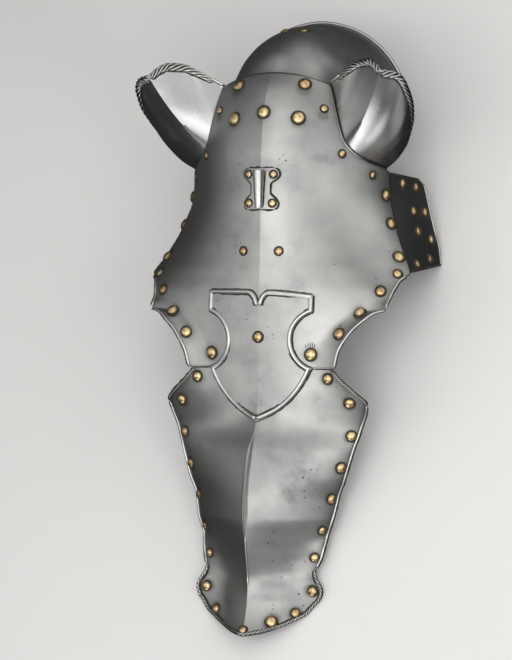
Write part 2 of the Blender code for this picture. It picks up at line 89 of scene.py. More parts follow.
class Side(Enum):
    """A side of the horse, by the sign of its X."""

    LEFT = 1
    RIGHT = -1

    def __str__(self) -> str:
        """The side's word in piece names."""
        return self.name.lower()

    @property
    def mirror(self) -> Array:
        """What takes a point of the left side to this side."""
        return np.array([self.value, 1, 1])


class Twist(Enum):
    """Which way a rope's strands wind."""

    RIGHT_HANDED = 1
    LEFT_HANDED = -1

    @classmethod
    def of(cls, sign: int) -> "Twist":
        """The twist of a sign."""
        return cls.RIGHT_HANDED if sign > 0 else cls.LEFT_HANDED


class Edge(Enum):
    """How a plate's border is worked."""

    PLAIN = "plain"
    ROPED = "roped"


# ---- the form ----


class Section(NamedTuple):
    """The form across the face, at one place along it."""

    y: float
    crest: float  # height of the ridge
    lean: float  # degrees that the sheet slopes at the ridge
    turn: float  # degrees of slope that it gains in 100 mm


class Outline(NamedTuple):
    """Where a plate ends at its side."""

    y: float
    bend: float  # how much further up its side end lies than its ridge end
    girth: float  # from the ridge to the edge, along the sheet
    lift: float  # how far the edge is turned out from the form
    tuck: float  # how far the plate lies under the form's surface


def smooth(rows: Sequence[Sequence[float]], at: Array | float) -> Array:
    """Reads the columns of a table at any places along its first column, by monotone cubics.

    Args:
        rows: The table, each row starting with its place.
        at: The places to read.

    Returns:
        One array of values for each column after the first.
    """
    table = np.array(sorted(rows), float)
    knots, values = table[:, 0], table[:, 1:]
    gaps = np.diff(knots)[:, None]
    rises = np.diff(values, axis=0) / gaps
    slopes = np.zeros_like(values)
    slopes[0], slopes[-1] = rises[0], rises[-1]
    before, after = rises[:-1], rises[1:]
    weight_before, weight_after = 2 * gaps[1:] + gaps[:-1], gaps[1:] + 2 * gaps[:-1]
    same_way = before * after > 0
    bottom = np.where(same_way, weight_before * after + weight_after * before, 1.0)
    slopes[1:-1] = np.where(same_way, (weight_before + weight_after) * before * after / bottom, 0.0)
    at = np.asarray(at, float)
    index = np.clip(np.searchsorted(knots, at) - 1, 0, len(knots) - 2)
    gap = gaps[index, 0]
    part = ((at - knots[index]) / gap)[..., None]
    gap = gap[..., None]
    found = (
        values[index] * (1 + 2 * part) * (1 - part) ** 2
        + slopes[index] * gap * part * (1 - part) ** 2
        + values[index + 1] * part**2 * (3 - 2 * part)
        - slopes[index + 1] * gap * part**2 * (1 - part)
    )
    return np.moveaxis(found, -1, 0)


@dataclass(frozen=True)
class Form:
    """The shape that the plates are hammered to, by its sections from the poll down to the muzzle."""

    sections: tuple[Section, ...] = (
        Section(200, -35, 2, 46),
        Section(182, -18.7, 3, 47),
        Section(160, -4.2, 5.5, 47),
        Section(140, 3.6, 6.5, 45),
        Section(120, 7.3, 7, 43.5),
        Section(100, 8.7, 7.5, 42),
        Section(60, 8.5, 8, 41),
        Section(30, 8.5, 8, 35),
        Section(0, 8.5, 7, 27),
        Section(-22, 9, 5, 21),
        Section(-40, 9, 3, 18),
        Section(-60, 9, 2, 17),
        Section(-90, 8, 2, 15),
        Section(-118, 6, 2, 13),
        Section(-140, 6, 3, 14),
        Section(-160, 8, 8, 12),
        Section(-177, 14.5, 16, 8),
        Section(-200, 28, 21, 12),
        Section(-225, 36.5, 26, 14),
        Section(-250, 40, 28, 21),
        Section(-267, 39.5, 28, 21),
        Section(-284, 37, 35, 9),
        Section(-300, 34, 44, -17),
        Section(-315, 30.5, 46, -23),
        Section(-328, 28, 41, -8),
        Section(-340, 28, 33, 14),
        Section(-352, 29.5, 28, 29),
        Section(-364, 32.5, 28, 26),
        Section(-375, 37.5, 28, 28),
        Section(-383, 43, 28, 0),
    )

    def bare(self, y: Array, girth: Array) -> Array:
        """Points of the form's surface at these places along it and these girths from its ridge.

        Args:
            y: Places along the form.
            girth: Distances from the ridge, along the sheet.

        Returns:
            The points.
        """
        crest, lean, turn = smooth(self.sections, y)
        half = np.radians(turn) / 100 * girth / 2
        mean = np.radians(lean) + half
        chord = girth * np.sinc(half / np.pi)
        return np.stack([chord * np.cos(mean), y, crest - chord * np.sin(mean)], axis=-1)

    def at(self, y: Array | float, girth: Array | float, height: Array | float = 0.0) -> Array:
        """Points that stand off the form's surface by a height.

        Args:
            y: Places along the form.
            girth: Distances from the ridge, along the sheet.
            height: How far off the surface.

        Returns:
            The points.
        """
        y, girth, height = np.broadcast_arrays(np.asarray(y, float), girth, height)
        normal = normals_of(self.bare, y, girth)
        normal[girth == 0, 0] = 0
        return self.bare(y, girth) + normal * height[..., None]


def unit(vectors: Array) -> Array:
    """The same directions at length 1."""
    return vectors / np.linalg.norm(vectors, axis=-1, keepdims=True)


def normals_of(surface: Place, first: Array, second: Array, step: float = STEP) -> Array:
    """Outward unit normals of a surface.

    Args:
        surface: Takes two arrays of places and gives points.
        first: Places along the surface.
        second: Places across it.
        step: The half step of the differences.

    Returns:
        One normal for each place, to the side that cross product of across and along points to.
    """
    along = surface(first + step, second) - surface(first - step, second)
    across = surface(first, second + step) - surface(first, second - step)
    return unit(np.cross(across, along))


FORM = Form()


def hammered(points: Array) -> Array:
    """Points where the hammer has left them, the same for plates that lie on each other.

    Args:
        points: Points of the true surface.

    Returns:
        The points, in or out of it.
    """
    found = np.empty(len(points))
    for number, point in enumerate(points):
        broad = noise.noise(Vector(point) / 46.0)
        fine = noise.noise(Vector(point) / 17.0 + Vector((9.0, 4.0, 2.0)))
        found[number] = HAMMER_DEPTH * (0.75 * broad + 0.25 * fine)
    return points + OUT * found[:, None]


# ---- meshes ----


class Finishes(NamedTuple):
    """What a plate and its border are made of."""

    sheet: Material
    edge: Material
    # black polish and rust, and painted shade in corners and under edges
    dirt: Material


def laid(name: str, build: Build, materials: Sequence[Material], crease: float) -> Object:
    """Lays a finished mesh down in the row frame, as a piece of the armour.

    Args:
        name: The piece's name.
        build: Its mesh in the horse's frame, in millimetres. It is freed.
        materials: The piece's materials, in the order of its faces' material numbers.
        crease: Degrees between two faces beyond which their edge stays sharp.

    Returns:
        The new object, at the origin.
    """
    bmesh.ops.transform(build, matrix=LIE, verts=build.verts[:])
    mesh = bpy.data.meshes.new(name)
    build.to_mesh(mesh)
    build.free()
    for material in materials:
        mesh.materials.append(material)
    mesh.shade_smooth()
    mesh.set_sharp_from_angle(angle=math.radians(crease))
    piece = bpy.data.objects.new(name, mesh)
    bpy.context.scene.collection.objects.link(piece)
    return piece


def put(piece: Object, slot: str, *nodes: str) -> None:
    """Puts a piece on the armour's body, in place of the nodes that it stands for.

    Args:
        piece: The piece.
        slot: Its material slot. Not used.
        *nodes: The nodes.
    """
    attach(piece, BODY)
    if nodes:
        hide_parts(*nodes)
    LOG.info("made %s, %d faces", piece.name, len(piece.data.polygons))


def faces_of(corners: Corners) -> list[bmesh.types.BMFace]:
    """The faces that meet these corners, each once and in order."""
    return list(dict.fromkeys(face for corner in corners for face in corner.link_faces))


def add_grid(
    build: Build,
    columns: Array,
    rows: Array,
    place: Place,
    material: int = 0,
    marks: Place | None = None,
) -> Corners:
    """Adds a grid whose corners go where place puts them.

    Args:
        build: The mesh to add to.
        columns: Places across the grid.
        rows: Places along it.
        place: Takes a column place and a row place for each corner, and gives points.
        material: Number of the faces' material.
        marks: Takes the same places, and gives how dark each corner is painted, by dirt and painted shade,
            from 0 to 1.

    Returns:
        The grid's vertices.
    """
    layer = (build.verts.layers.float.get(DIRT_AND_SHADE) or build.verts.layers.float.new(DIRT_AND_SHADE)) if marks else None
    wide, high = len(columns) - 1, len(rows) - 1
    made = bmesh.ops.create_grid(build, x_segments=wide, y_segments=high, size=0.5)["verts"]
    index = np.rint((np.array([corner.co[:2] for corner in made]) + 0.5) * (wide, high)).astype(int)
    across, along = columns[index[:, 0]], rows[index[:, 1]]
    for corner, point in zip(made, place(across, along)):
        corner.co = point
    if layer:
        for corner, mark in zip(made, marks(across, along)):
            corner[layer] = mark
    for face in faces_of(made):
        face.material_index = material
    return made


def add_turned(build: Build, outline: Sequence[tuple[float, float]], steps: int, material: int) -> Corners:
    """Adds a turned body about +Z.

    Args:
        build: The mesh to add to.
        outline: Distance from the axis and height of each corner of the section.
        steps: Number of sides.
        material: Number of its faces' material.

    Returns:
        Its vertices.
    """
    old = set(build.verts)
    corners = [build.verts.new((reach, 0, height)) for reach, height in outline]
    edges = [build.edges.new(pair) for pair in zip(corners, corners[1:])]
    turn = {"axis": (0, 0, 1), "angle": 2 * math.pi, "steps": steps, "use_merge": True}
    bmesh.ops.spin(build, geom=corners + edges, **turn)
    made = [corner for corner in build.verts if corner not in old]
    bmesh.ops.remove_doubles(build, verts=made, dist=SEAM)
    made = [corner for corner in build.verts if corner not in old]
    faces = faces_of(made)
    bmesh.ops.recalc_face_normals(build, faces=faces)
    for face in faces:
        face.material_index = material
    return made


def open_sheet(
    columns: Array, rows: Array, place: Place, outside: Sequence[float] = OUTSIDE, marks: Place | None = None
) -> Build:
    """Makes a plate's outer face as a grid, with its faces turned towards a place outside.

    Args:
        columns: Places across the plate.
        rows: Places along it.
        place: Takes a column place and a row place for each corner, and gives points.
        outside: A place that the faces look towards.
        marks: Takes the same places, and gives how dark each corner is painted, by dirt and painted shade.

    Returns:
        The mesh, in the horse's frame.
    """
    build = bmesh.new()
    add_grid(build, columns, rows, place, marks=marks)
    bmesh.ops.recalc_face_normals(build, faces=build.faces[:])
    outside = Vector(outside)
    if sum(face.normal.dot(outside - face.calc_center_median()) for face in build.faces) < 0:
        bmesh.ops.reverse_faces(build, faces=build.faces[:])
    return build


def put_sheet(
    node: str, build: Build, steel: Material, slot: str = "steel", crease: float = SHARP_SHEET
) -> None:
    """Puts an open sheet on the armour for a node, and gives it its thickness, inwards.

    Args:
        node: The node that it replaces.
        build: The plate's outer face.
        steel: Its material.
        slot: Its material slot.
        crease: Degrees between two faces beyond which their edge stays sharp.
    """
    piece = laid(f"{node}_worn", build, [steel], crease)
    modifier = piece.modifiers.new("thickness", "SOLIDIFY")
    modifier.thickness = SHEET * MM
    modifier.offset = -1
    modifier.use_even_offset = True
    put(piece, slot, node)


def put_border(name: str, build: Build, finishes: Finishes, slot: str = "steel") -> None:
    """Puts a border and the painted shade line beside it on the armour."""
    put(laid(name, build, [finishes.edge, finishes.dirt], SHARP_ROLL), slot)


def put_dirt(name: str, build: Build, dirt: Material) -> None:
    """Puts dark marks on the armour: rust pits, and lines of painted shade."""
    put(laid(name, build, [dirt], SHARP_ROLL), "dark_steel")


def sides_of(across: Array) -> Array:
    """What mirrors each point of the left side to where it belongs, by the sign of its first place."""
    return np.stack([np.where(across < 0, -1, 1), *np.ones((2, len(across)))], axis=-1)


def mirrored(place: Place) -> Place:
    """A surface of the horse's left side on both sides, where a negative first place means the right."""
    return lambda across, along: place(np.abs(across), along) * sides_of(across)


def on_side(place: Place, side: Side) -> Place:
    """A surface of the horse's left side, on the side that is wanted."""
    return lambda across, along: place(across, along) * side.mirror


def dense(reach: float, step: float, middle: float = 0.7, growth: float = 0.22) -> Array:
    """Places from one side of the ridge to the other, closer together at the ridge.

    Args:
        reach: Number of millimetres to each side.
        step: Distance between two places far from the ridge.
        middle: Distance between two places at the ridge.
        growth: How fast the distance grows away from the ridge.

    Returns:
        Places from -1 to 1, with one at 0.
    """
    half, at = [0.0], 0.0
    while at < reach:
        at += min(step, middle + growth * at)
        half.append(at)
    half = np.array(half) / half[-1]
    return np.concatenate([-half[:0:-1], half])


def lengths_of(points: Array) -> Array:
    """How far along a line each of its points is."""
    return np.concatenate([[0.0], np.cumsum(np.linalg.norm(np.diff(points, axis=0), axis=1))])


class Path(NamedTuple):
    """A line along a plate, for a border to follow."""

    points: Array
    normals: Array  # out of the plate
    sides: Array  # in the plate, away from its middle

    @property
    def lengths(self) -> Array:
        """How far along the line each point is."""
        return lengths_of(self.points)

    def rounded(self, taper: float) -> Array:
        """Shares of a radius that round the line's two ends, over this length."""
        lengths = self.lengths
        return np.sqrt(np.clip(np.minimum(lengths, lengths[-1] - lengths) / taper, 0, 1))

    def off(self, at: Array, out: Array, up: Array) -> Array:
        """Points beside these of the line's, so far out of the plate's edge and up from its face."""
        return self.points[at] + self.sides[at] * out[:, None] + self.normals[at] * up[:, None]


def path_through(
    points: Array, normals: Array, step: float, outward: Sequence[float] | None = None, flip: bool = False
) -> Path:
    """Spaces a line evenly and works out which way is off the plate.

    Args:
        points: Points of the line.
        normals: The plate's normal at each.
        step: Distance between two points of the finished line.
        outward: A point that the sides face away from, if the plate isn't always on the line's right.
        flip: Turns the sides round.

    Returns:
        The finished line.
    """
    steps = np.linalg.norm(np.diff(points, axis=0), axis=1)
    keep = np.concatenate([[True], steps > SEAM])
    points, normals = points[keep], normals[keep]
    lengths = lengths_of(points)
    even = np.linspace(0, lengths[-1], max(3, math.ceil(lengths[-1] / step) + 1))
    points = np.stack([np.interp(even, lengths, column) for column in points.T], axis=-1)
    normals = np.stack([np.interp(even, lengths, column) for column in normals.T], axis=-1)
    tangents = unit(np.gradient(points, axis=0))
    normals = unit(normals - tangents * (normals * tangents).sum(1, keepdims=True))
    sides = np.cross(tangents, normals)
    if outward is not None and ((points - np.array(outward)) * sides).sum() < 0:
        sides = -sides
    return Path(points, normals, -sides if flip else sides)


def rim_normals(points: Array, inner: Array, outside: Sequence[float]) -> Array:
    """A sheet's normals at points of its rim, from points just inside, turned towards a place outside."""
    normals = unit(np.cross(points - inner, np.gradient(points, axis=0)))
    return -normals if (normals * (outside - points)).sum() < 0 else normals


def level_path(points: Array, step: float, outward: Sequence[float] | None = None) -> Path:
    """Spaces a line evenly on a plate that faces straight out."""
    return path_through(points, np.tile(OUT, (len(points), 1)), step, outward)


@dataclass(frozen=True)
class Border:
    """A border: a roll of the plate's edge, plain or filed like a rope, and a line of painted shade beside
    it.
    """

    style: Edge = Edge.PLAIN
    radius: float = 1.5
    pitch: float = 4.0  # between two strands, along the border
    strands: int = 4
    depth: float = 0.24  # of the grooves between the strands, as a share of the radius
    gap: float = 0.15  # breadth of those grooves, from -1 to 1
    inset: float = 0.7  # of the roll's middle from the plate's edge, in radii
    rise: float = 0.0  # of the roll's middle over the plate's outer face
    around: int = 16
    dirt: float = 0.9  # half the breadth of the painted shade line inside it
    taper: float = 3.0  # length of each rounded end

    @property
    def step(self) -> float:
        """Distance between two rings of the roll."""
        return self.pitch / 8 if self.style is Edge.ROPED else 1.4

    def add(
        self,
        build: Build,
        path: Path,
        swell: Callable[[Array], Array] | None = None,
        twist: Twist = Twist.LEFT_HANDED,
        material: int = 0,
    ) -> None:
        """Adds the roll along a path.

        Args:
            build: The mesh to add to.
            path: The plate's edge.
            swell: Takes shares of the path and gives shares of the radius.
            twist: Which way the strands wind.
            material: Number of the roll's material. The painted shade line has the next.
        """
        lengths = path.lengths
        size = self.radius * path.rounded(self.taper) * (swell(lengths / lengths[-1]) if swell else 1.0)
        index = np.arange(len(lengths), dtype=float)
        tangents = np.gradient(path.points, axis=0)
        wind = twist.value * np.sign((np.cross(path.sides, path.normals) * tangents).sum())

        def groove(turn: Array, ring: Array) -> Array:
            """How deep the roll is cut between two strands, from 0 to 1.

            Args:
                turn: Shares of a turn round it.
                ring: Numbers of the path's points.

            Returns:
                Values from 0 to 1.
            """
            if self.style is Edge.PLAIN:
                return np.zeros(len(turn))
            phase = 2 * np.pi * (self.strands * turn - wind * lengths[ring.astype(int)] / self.pitch)
            return np.clip((np.cos(phase) + self.gap) / (1 + self.gap), 0, 1) ** 0.8

        def dark(turn: Array, ring: Array) -> Array:
            """How dark the groove is painted there: dirt, and painted shade in the groove."""
            return np.clip(1.7 * groove(turn, ring), 0, 1)

        def roll(turn: Array, ring: Array) -> Array:
            """Points of the roll.

            Args:
                turn: Shares of a turn round it.
                ring: Numbers of the path's points.

            Returns:
                The points.
            """
            at = ring.astype(int)
            angle = 2 * np.pi * turn
            reach = size[at] * (1 - self.depth * groove(turn, ring))
            out = -self.inset * self.radius + reach * np.cos(angle)
            return path.off(at, out, self.rise + reach * np.sin(angle))

        corners = add_grid(build, np.linspace(0, 1, self.around + 1), index, roll, material, dark)
        bmesh.ops.remove_doubles(build, verts=corners, dist=SEAM)
        # a line of painted shade inside the roll
        if self.dirt:
            out = -self.inset * self.radius - size - 0.3 * self.dirt
            add_dirt(build, path, out, up=0.12, breadth=self.dirt, material=material + 1)


def add_dirt(
    build: Build, path: Path, out: Array | float, up: float, breadth: float, material: int = 0
) -> None:
    """Adds a low dark line in a corner or beside an edge: painted shade, where a shadow falls.

    Args:
        build: The mesh to add to.
        path: A plate's edge.
        out: How far beyond the edge the line lies.
        up: How far over the plate's outer face.
        breadth: Half the line's breadth.
        material: Number of its material.
    """
    count = len(path.points)
    out = np.broadcast_to(np.asarray(out, float), count)
    skip = max(1, round(1.2 / max(path.lengths[-1] / count, 0.01)))
    rings = np.unique(np.append(np.arange(0, count, skip, dtype=float), count - 1.0))
    ends = path.rounded(2.5)

    def line(turn: Array, ring: Array) -> Array:
        """Points of the painted shade line.

        Args:
            turn: Shares of a turn round it.
            ring: Numbers of the path's points.

        Returns:
            The points.
        """
        at = ring.astype(int)
        angle = 2 * np.pi * turn
        patchy = np.array([0.8 + 0.5 * noise.noise(Vector(point) / 5.0) for point in path.points[at]])
        reach = breadth * np.clip(ends[at], 0.05, 1) * patchy
        return path.off(at, out[at] + reach * np.cos(angle), up + 0.3 * reach * np.sin(angle))

    corners = add_grid(build, np.linspace(0, 1, 7), rings, line, material)
    bmesh.ops.remove_doubles(build, verts=corners, dist=SEAM)


# ---- plates ----


def stations(outline: Sequence[Outline], step: float) -> Array:
    """The rows of a plate's grid: those of its outline, and more where they are over a step apart.

    Args:
        outline: The plate's outline.
        step: The greatest distance between two rows.

    Returns:
        Places along the form, from the top down.
    """
    found = [outline[0].y]
    for first, second in zip(outline, outline[1:]):
        parts = math.ceil((first.y - second.y) / step)
        found.extend(np.linspace(first.y, second.y, parts + 1)[1:])
    return np.array(found, float)


class Rivet(NamedTuple):
    """A rivet, or a pair of them."""

    name: str
    first: float  # place along the plate
    second: float  # place across it
    radius: float
    depth: float  # from the outer plate's face down to the lowest plate that it goes through
    paired: bool = True


FACE_RIVETS = (
    Rivet("brow_upper", 169, 37, 6, UNDER_DEPTH),
    Rivet("brow_lower", 134, 36, 6.5, 0),
    Rivet("brow_middle", 139.5, 0, 6, 0, paired=False),
    Rivet("ear_upper", 144, 61, 3.6, FLANGE_DEPTH),
    Rivet("ear_middle", 99, 83, 3.6, FLANGE_DEPTH),
    Rivet("ear_lower", 79, 119, 3.6, FLANGE_DEPTH),
    Rivet("cheek_1", 59, 137, 6.2, UNDER_DEPTH),
    Rivet("cheek_2", 30, 139.5, 6, UNDER_DEPTH),
    Rivet("cheek_3", -4, 143, 6.2, UNDER_DEPTH),
    Rivet("eye_1", -21, 140, 4.6, 0),
    Rivet("eye_2", -39, 123, 5, 0),
    Rivet("eye_3", -61, 103, 5.6, 0),
    Rivet("eye_4", -82, 83, 5.4, 0),
    Rivet("neck", -103, 54, 6, LAYER),
)
NOSE_RIVETS = (
    Rivet("nose_1", -127, 71, 4.9, 0),
    Rivet("nose_2", -151, 93, 5.2, 0),
    Rivet("nose_3", -184, 98, 5.2, 0),
    Rivet("nose_4", -216, 95.5, 5.2, 0),
    Rivet("nose_5", -247.5, 91, 5.1, 0),
    Rivet("nose_6", -279, 81, 4.1, 0),
    Rivet("nose_7", -306, 71, 4.3, 0),
    Rivet("muzzle_1", -340, 64, 4.9, 0),
    Rivet("muzzle_2", -362, 50, 4.7, 0),
    Rivet("muzzle_middle", -369.5, 27, 6, 0, paired=False),
)


@dataclass(frozen=True)
class FormPlate:
    """A plate that lies on the form, by a table of where its sides end."""

    name: str
    outline: tuple[Outline, ...]
    rivets: tuple[Rivet, ...]  # each has darkening round it: grime and painted shade
    step: float = 2.0
    flare: float = 26.0  # breadth of the border that is turned out
    dirt: float = 0.45  # darkness along its side edges
    dirt_reach: float = 7.0  # from its side edges inwards
    halo: float = 0.45  # darkness round a rivet: grime and painted shade
    halo_reach: float = 2.2
    halo_gap: float = 1.0  # from a rivet's head to where its darkening starts to fade

    @property
    def top(self) -> float:
        """Where the plate starts."""
        return self.outline[0].y

    @property
    def low(self) -> float:
        """Where it ends."""
        return self.outline[-1].y

    def surface(self, y: Array, girth: Array, row: Array | None = None) -> Array:
        """Points of the outer face, by places along the form, girths and rows of the outline.

        Args:
            y: Places along the form.
            girth: Distances from the ridge, along the sheet.
            row: Rows of the outline, where they are not the same as y.

        Returns:
            The points.
        """
        _, edge, lift, tuck = smooth(self.outline, y if row is None else row)
        border = np.clip(1 - (edge - np.asarray(girth)) / self.flare, 0, None)
        return FORM.at(y, girth, lift * border**2 - tuck)

    def half(self, across: Array, row: Array) -> Array:
        """Points of the left half, by shares of the girth and rows of the outline."""
        bend, edge = smooth(self.outline, row)[:2]
        return self.surface(row + bend * across**2, edge * across, row)

    def place(self, across: Array, row: Array) -> Array:
        """Points of the hammered plate on both sides of the ridge."""
        return hammered(mirrored(self.half)(across, row))

    def marks(self, across: Array, row: Array) -> Array:
        """How dark each place is painted: darker along the sides, and round the rivets with grime and
        painted shade.

        Args:
            across: Shares of the girth, below 0 on the right.
            row: Rows of the outline.

        Returns:
            Values from 0 to 1.
        """
        edge = smooth(self.outline, row)[1]
        mark = self.dirt * np.exp(-edge * (1 - np.abs(across)) / self.dirt_reach)
        for rivet in self.rivets:
            girth = edge * (np.abs(across) if rivet.paired else across)
            gap = np.hypot(row - rivet.first, girth - rivet.second) - rivet.radius - self.halo_gap
            mark = np.maximum(mark, self.halo * np.exp(-np.maximum(gap, 0) / self.halo_reach))
        return mark

    def end(self, row: float, step: float) -> Path:
        """The line of the plate's edge across the face, at one row.

        Args:
            row: The row.
            step: Distance between two points.

        Returns:
            The line.
        """
        shares = np.linspace(-1, 1, 121)
        points = self.place(shares, np.full(121, row))
        bend, edge = smooth(self.outline, np.array([row]))[:2]
        off_ridge = np.maximum(edge * np.abs(shares), 2 * STEP)
        normals = normals_of(self.surface, row + bend * shares**2, off_ridge) * sides_of(shares)
        return path_through(points, normals, step, outward=(0, 60 if row > 0 else 0, 0))

    def edge(self, high: float, low: float, side: Side, step: float) -> Path:
        """The line of the plate's side edge between two places along the form.

        Args:
            high: The upper place.
            low: The lower place.
            side: Which side's edge.
            step: Distance between two points.

        Returns:
            The line, from the upper place down.
        """
        rows = stations(self.outline, 1.0)
        rows = rows[(rows <= high + SEAM) & (rows >= low - SEAM)]
        bend, edge = smooth(self.outline, rows)[:2]
        points = self.place(np.full(len(rows), float(side.value)), rows)
        normals = normals_of(self.surface, rows + bend, edge - 2 * STEP) * side.mirror
        return path_through(points, normals, step, flip=side is Side.RIGHT)

    def build(self, steel: Material) -> None:
        """Makes the plate.

        Args:
            steel: Its material.
        """
        columns = dense(max(row.girth for row in self.outline), self.step)
        rows = stations(self.outline, self.step)
        put_sheet(self.name, open_sheet(columns, rows, self.place, marks=self.marks), steel)


FACE = FormPlate(
    "face_plate",
    (
        Outline(182, -13, 62, 0, 0),
        Outline(165, -12, 69, 0, 0),
        Outline(142, -10, 76, 0, 0),
        Outline(121, -6, 82, 0, 0),
        Outline(114, -4.5, 85, 0, 0),
        Outline(108, -3, 89, 0, 0),
        Outline(103, -2, 93.5, 0, 0),
        Outline(98, -1, 99.5, 0, 0),
        Outline(95, -0.5, 104.5, 0, 0),
        Outline(92, 0, 111, 0, 0),
        Outline(89.5, 0, 119, 0, 0),
        Outline(87.5, 0, 128, 0, 0),
        Outline(85.5, 0, 136, 0, 0),
        Outline(84, 0, 141, 0, 0),
        Outline(60, 0, 144, 0, 0),
        Outline(30, 0, 145.5, 0, 0),
        Outline(4, 0, 149, 0, 0),
        Outline(-20, 0, 154, 0, 0),
        Outline(-26, 0, 143, 0, 0),
        Outline(-33, 0, 137.5, 0, 0),
        Outline(-44, 0, 132, 1, 0),
        Outline(-56, 0, 127.5, 7, 0),
        Outline(-58.5, 0, 127, 8, 0),
        Outline(-61, 0, 117, 7.5, 0),
        Outline(-68, 0, 106.5, 8.5, 0),
        Outline(-77, 0, 96, 8, 0),
        Outline(-88, 0, 87.5, 7.5, 0),
        Outline(-100, 0, 81, 6.5, 0),
        Outline(-117, 0, 77, 5, 0),
    ),
    FACE_RIVETS,
)

NOSE = FormPlate(
    "nose_plate",
    (
        Outline(-92, 0, 64, 0, LAYER),
        Outline(-106, 0, 69, 0, LAYER),
        Outline(-118, 0, 74, 2, LAYER),
        Outline(-128, 0, 82, 3, 1),
        Outline(-140, 0, 96, 3, 0),
        Outline(-153, 0, 109, 1, 0),
        Outline(-162, 0, 108, 0, 0),
        Outline(-177, 0, 105, 0, 0),
        Outline(-225, 0, 100.5, 0, 0),
        Outline(-250, 0, 96.5, 0, 0),
        Outline(-284, 0, 85.5, 0, 0),
        Outline(-296, 0, 80.5, 1, 0),
        Outline(-306, 0, 76.5, 3, 0),
        Outline(-316, 0, 71, 7, 0),
        Outline(-327, 0, 70, 13, 0),
        Outline(-338, 0, 72, 17, 0),
        Outline(-352, 0, 69, 14, 0),
        Outline(-363, 0, 62, 7, 0),
        Outline(-370, 0, 49, 2, 0),
        Outline(-376, 0, 34, 0, 0),
        Outline(-380, 0, 19, 0, 0),
        Outline(-382.5, 0, 4, 0, 0),
    ),
    NOSE_RIVETS,
    flare=34.0,
    dirt=0.75,
    dirt_reach=9.0,
    halo=0.7,
)


class Arch(NamedTuple):
    """A section of the poll plate, from its ridge to its lower corner."""

    crest_y: float
    crest_z: float
    side_x: float
    side_y: float
    side_z: float
    sweep: float  # degrees of the arc from ridge to corner


def through(knots: Sequence[float], points: Sequence[Array], shares: Array) -> Array:
    """Points along a smooth curve through the points at the knots."""
    return np.stack(smooth([(knot, *point) for knot, point in zip(knots, points)], shares), axis=-1)


@dataclass(frozen=True)
class PollPlate:
    """The arched plate over the poll, which comes out from under the face plate's upper edge."""

    arches: tuple[Arch, ...] = (
        Arch(205, -38, 62, 170, -60, 50),
        Arch(224, -61, 73, 166, -88, 62),
        Arch(237, -101, 87, 151, -124, 78),
        Arch(247, -155, 98.5, 130, -155, 100),
    )
    crease: float = 0.035  # share of its fall that is a straight slope from the ridge
    tuck: float = 12.0  # breadth of the strip under the face plate
    inset: float = 2.0  # how much narrower than the face plate it is there
    knots: tuple[float, ...] = (0, 0.09, 0.32, 0.52, 0.75, 1)
    rim: Border = Border(radius=1.8, rise=0.5)
    outside: tuple[float, float, float] = (0, 500, 200)

    def half(self, across: Array, along: Array) -> Array:
        """Points of the left half, by shares from ridge to corner and from the seam to the rim.

        Args:
            across: Shares from ridge to corner.
            along: Shares from the seam to the rim.

        Returns:
            The points.
        """
        across, along = np.broadcast_arrays(np.asarray(across, float), along)
        points = np.empty((len(across), 3))
        seam = FACE.outline[0]
        for share in np.unique(across):
            here = across == share
            y = seam.y + seam.bend * share**2
            girth = (seam.girth - self.inset) * share
            curve = [FORM.at(y - self.tuck, girth, -UNDER_DEPTH), FORM.at(y, girth, -UNDER_DEPTH)]
            for arch in self.arches:
                sweep = math.radians(arch.sweep)
                fall = (1 - math.cos(sweep * share)) / (1 - math.cos(sweep))
                fall += self.crease * (share - fall)
                x = arch.side_x * math.sin(sweep * share) / math.sin(sweep)
                y = arch.crest_y + (arch.side_y - arch.crest_y) * fall
                z = arch.crest_z + (arch.side_z - arch.crest_z) * fall
                curve.append(np.array([x, y, z]))
            points[here] = through(self.knots, curve, along[here])
        return points

    def build(self, finishes: Finishes) -> None:
        """Makes the plate and its turned rim.

        Args:
            finishes: What it is made of.
        """
        both = mirrored(self.half)
        sheet = open_sheet(dense(130, 3.0), np.linspace(0, 1, 60), both, self.outside)
        put_sheet("poll_plate", sheet, finishes.sheet)

        shares = np.linspace(-1, 1, 161)
        points, inner = both(shares, np.ones(161)), both(shares, np.full(161, 0.97))
        normals = rim_normals(points, inner, self.outside)
        build = bmesh.new()
        self.rim.add(build, path_through(points, normals, self.rim.step, outward=Vector(inner[80])))
        put_border("poll_rim", build, finishes)


class Cheek(NamedTuple):
    """A section of a side plate, from the edge of the face plate back to its rear edge."""

    front_y: float
    rear_x: float
    rear_y: float
    rear_z: float


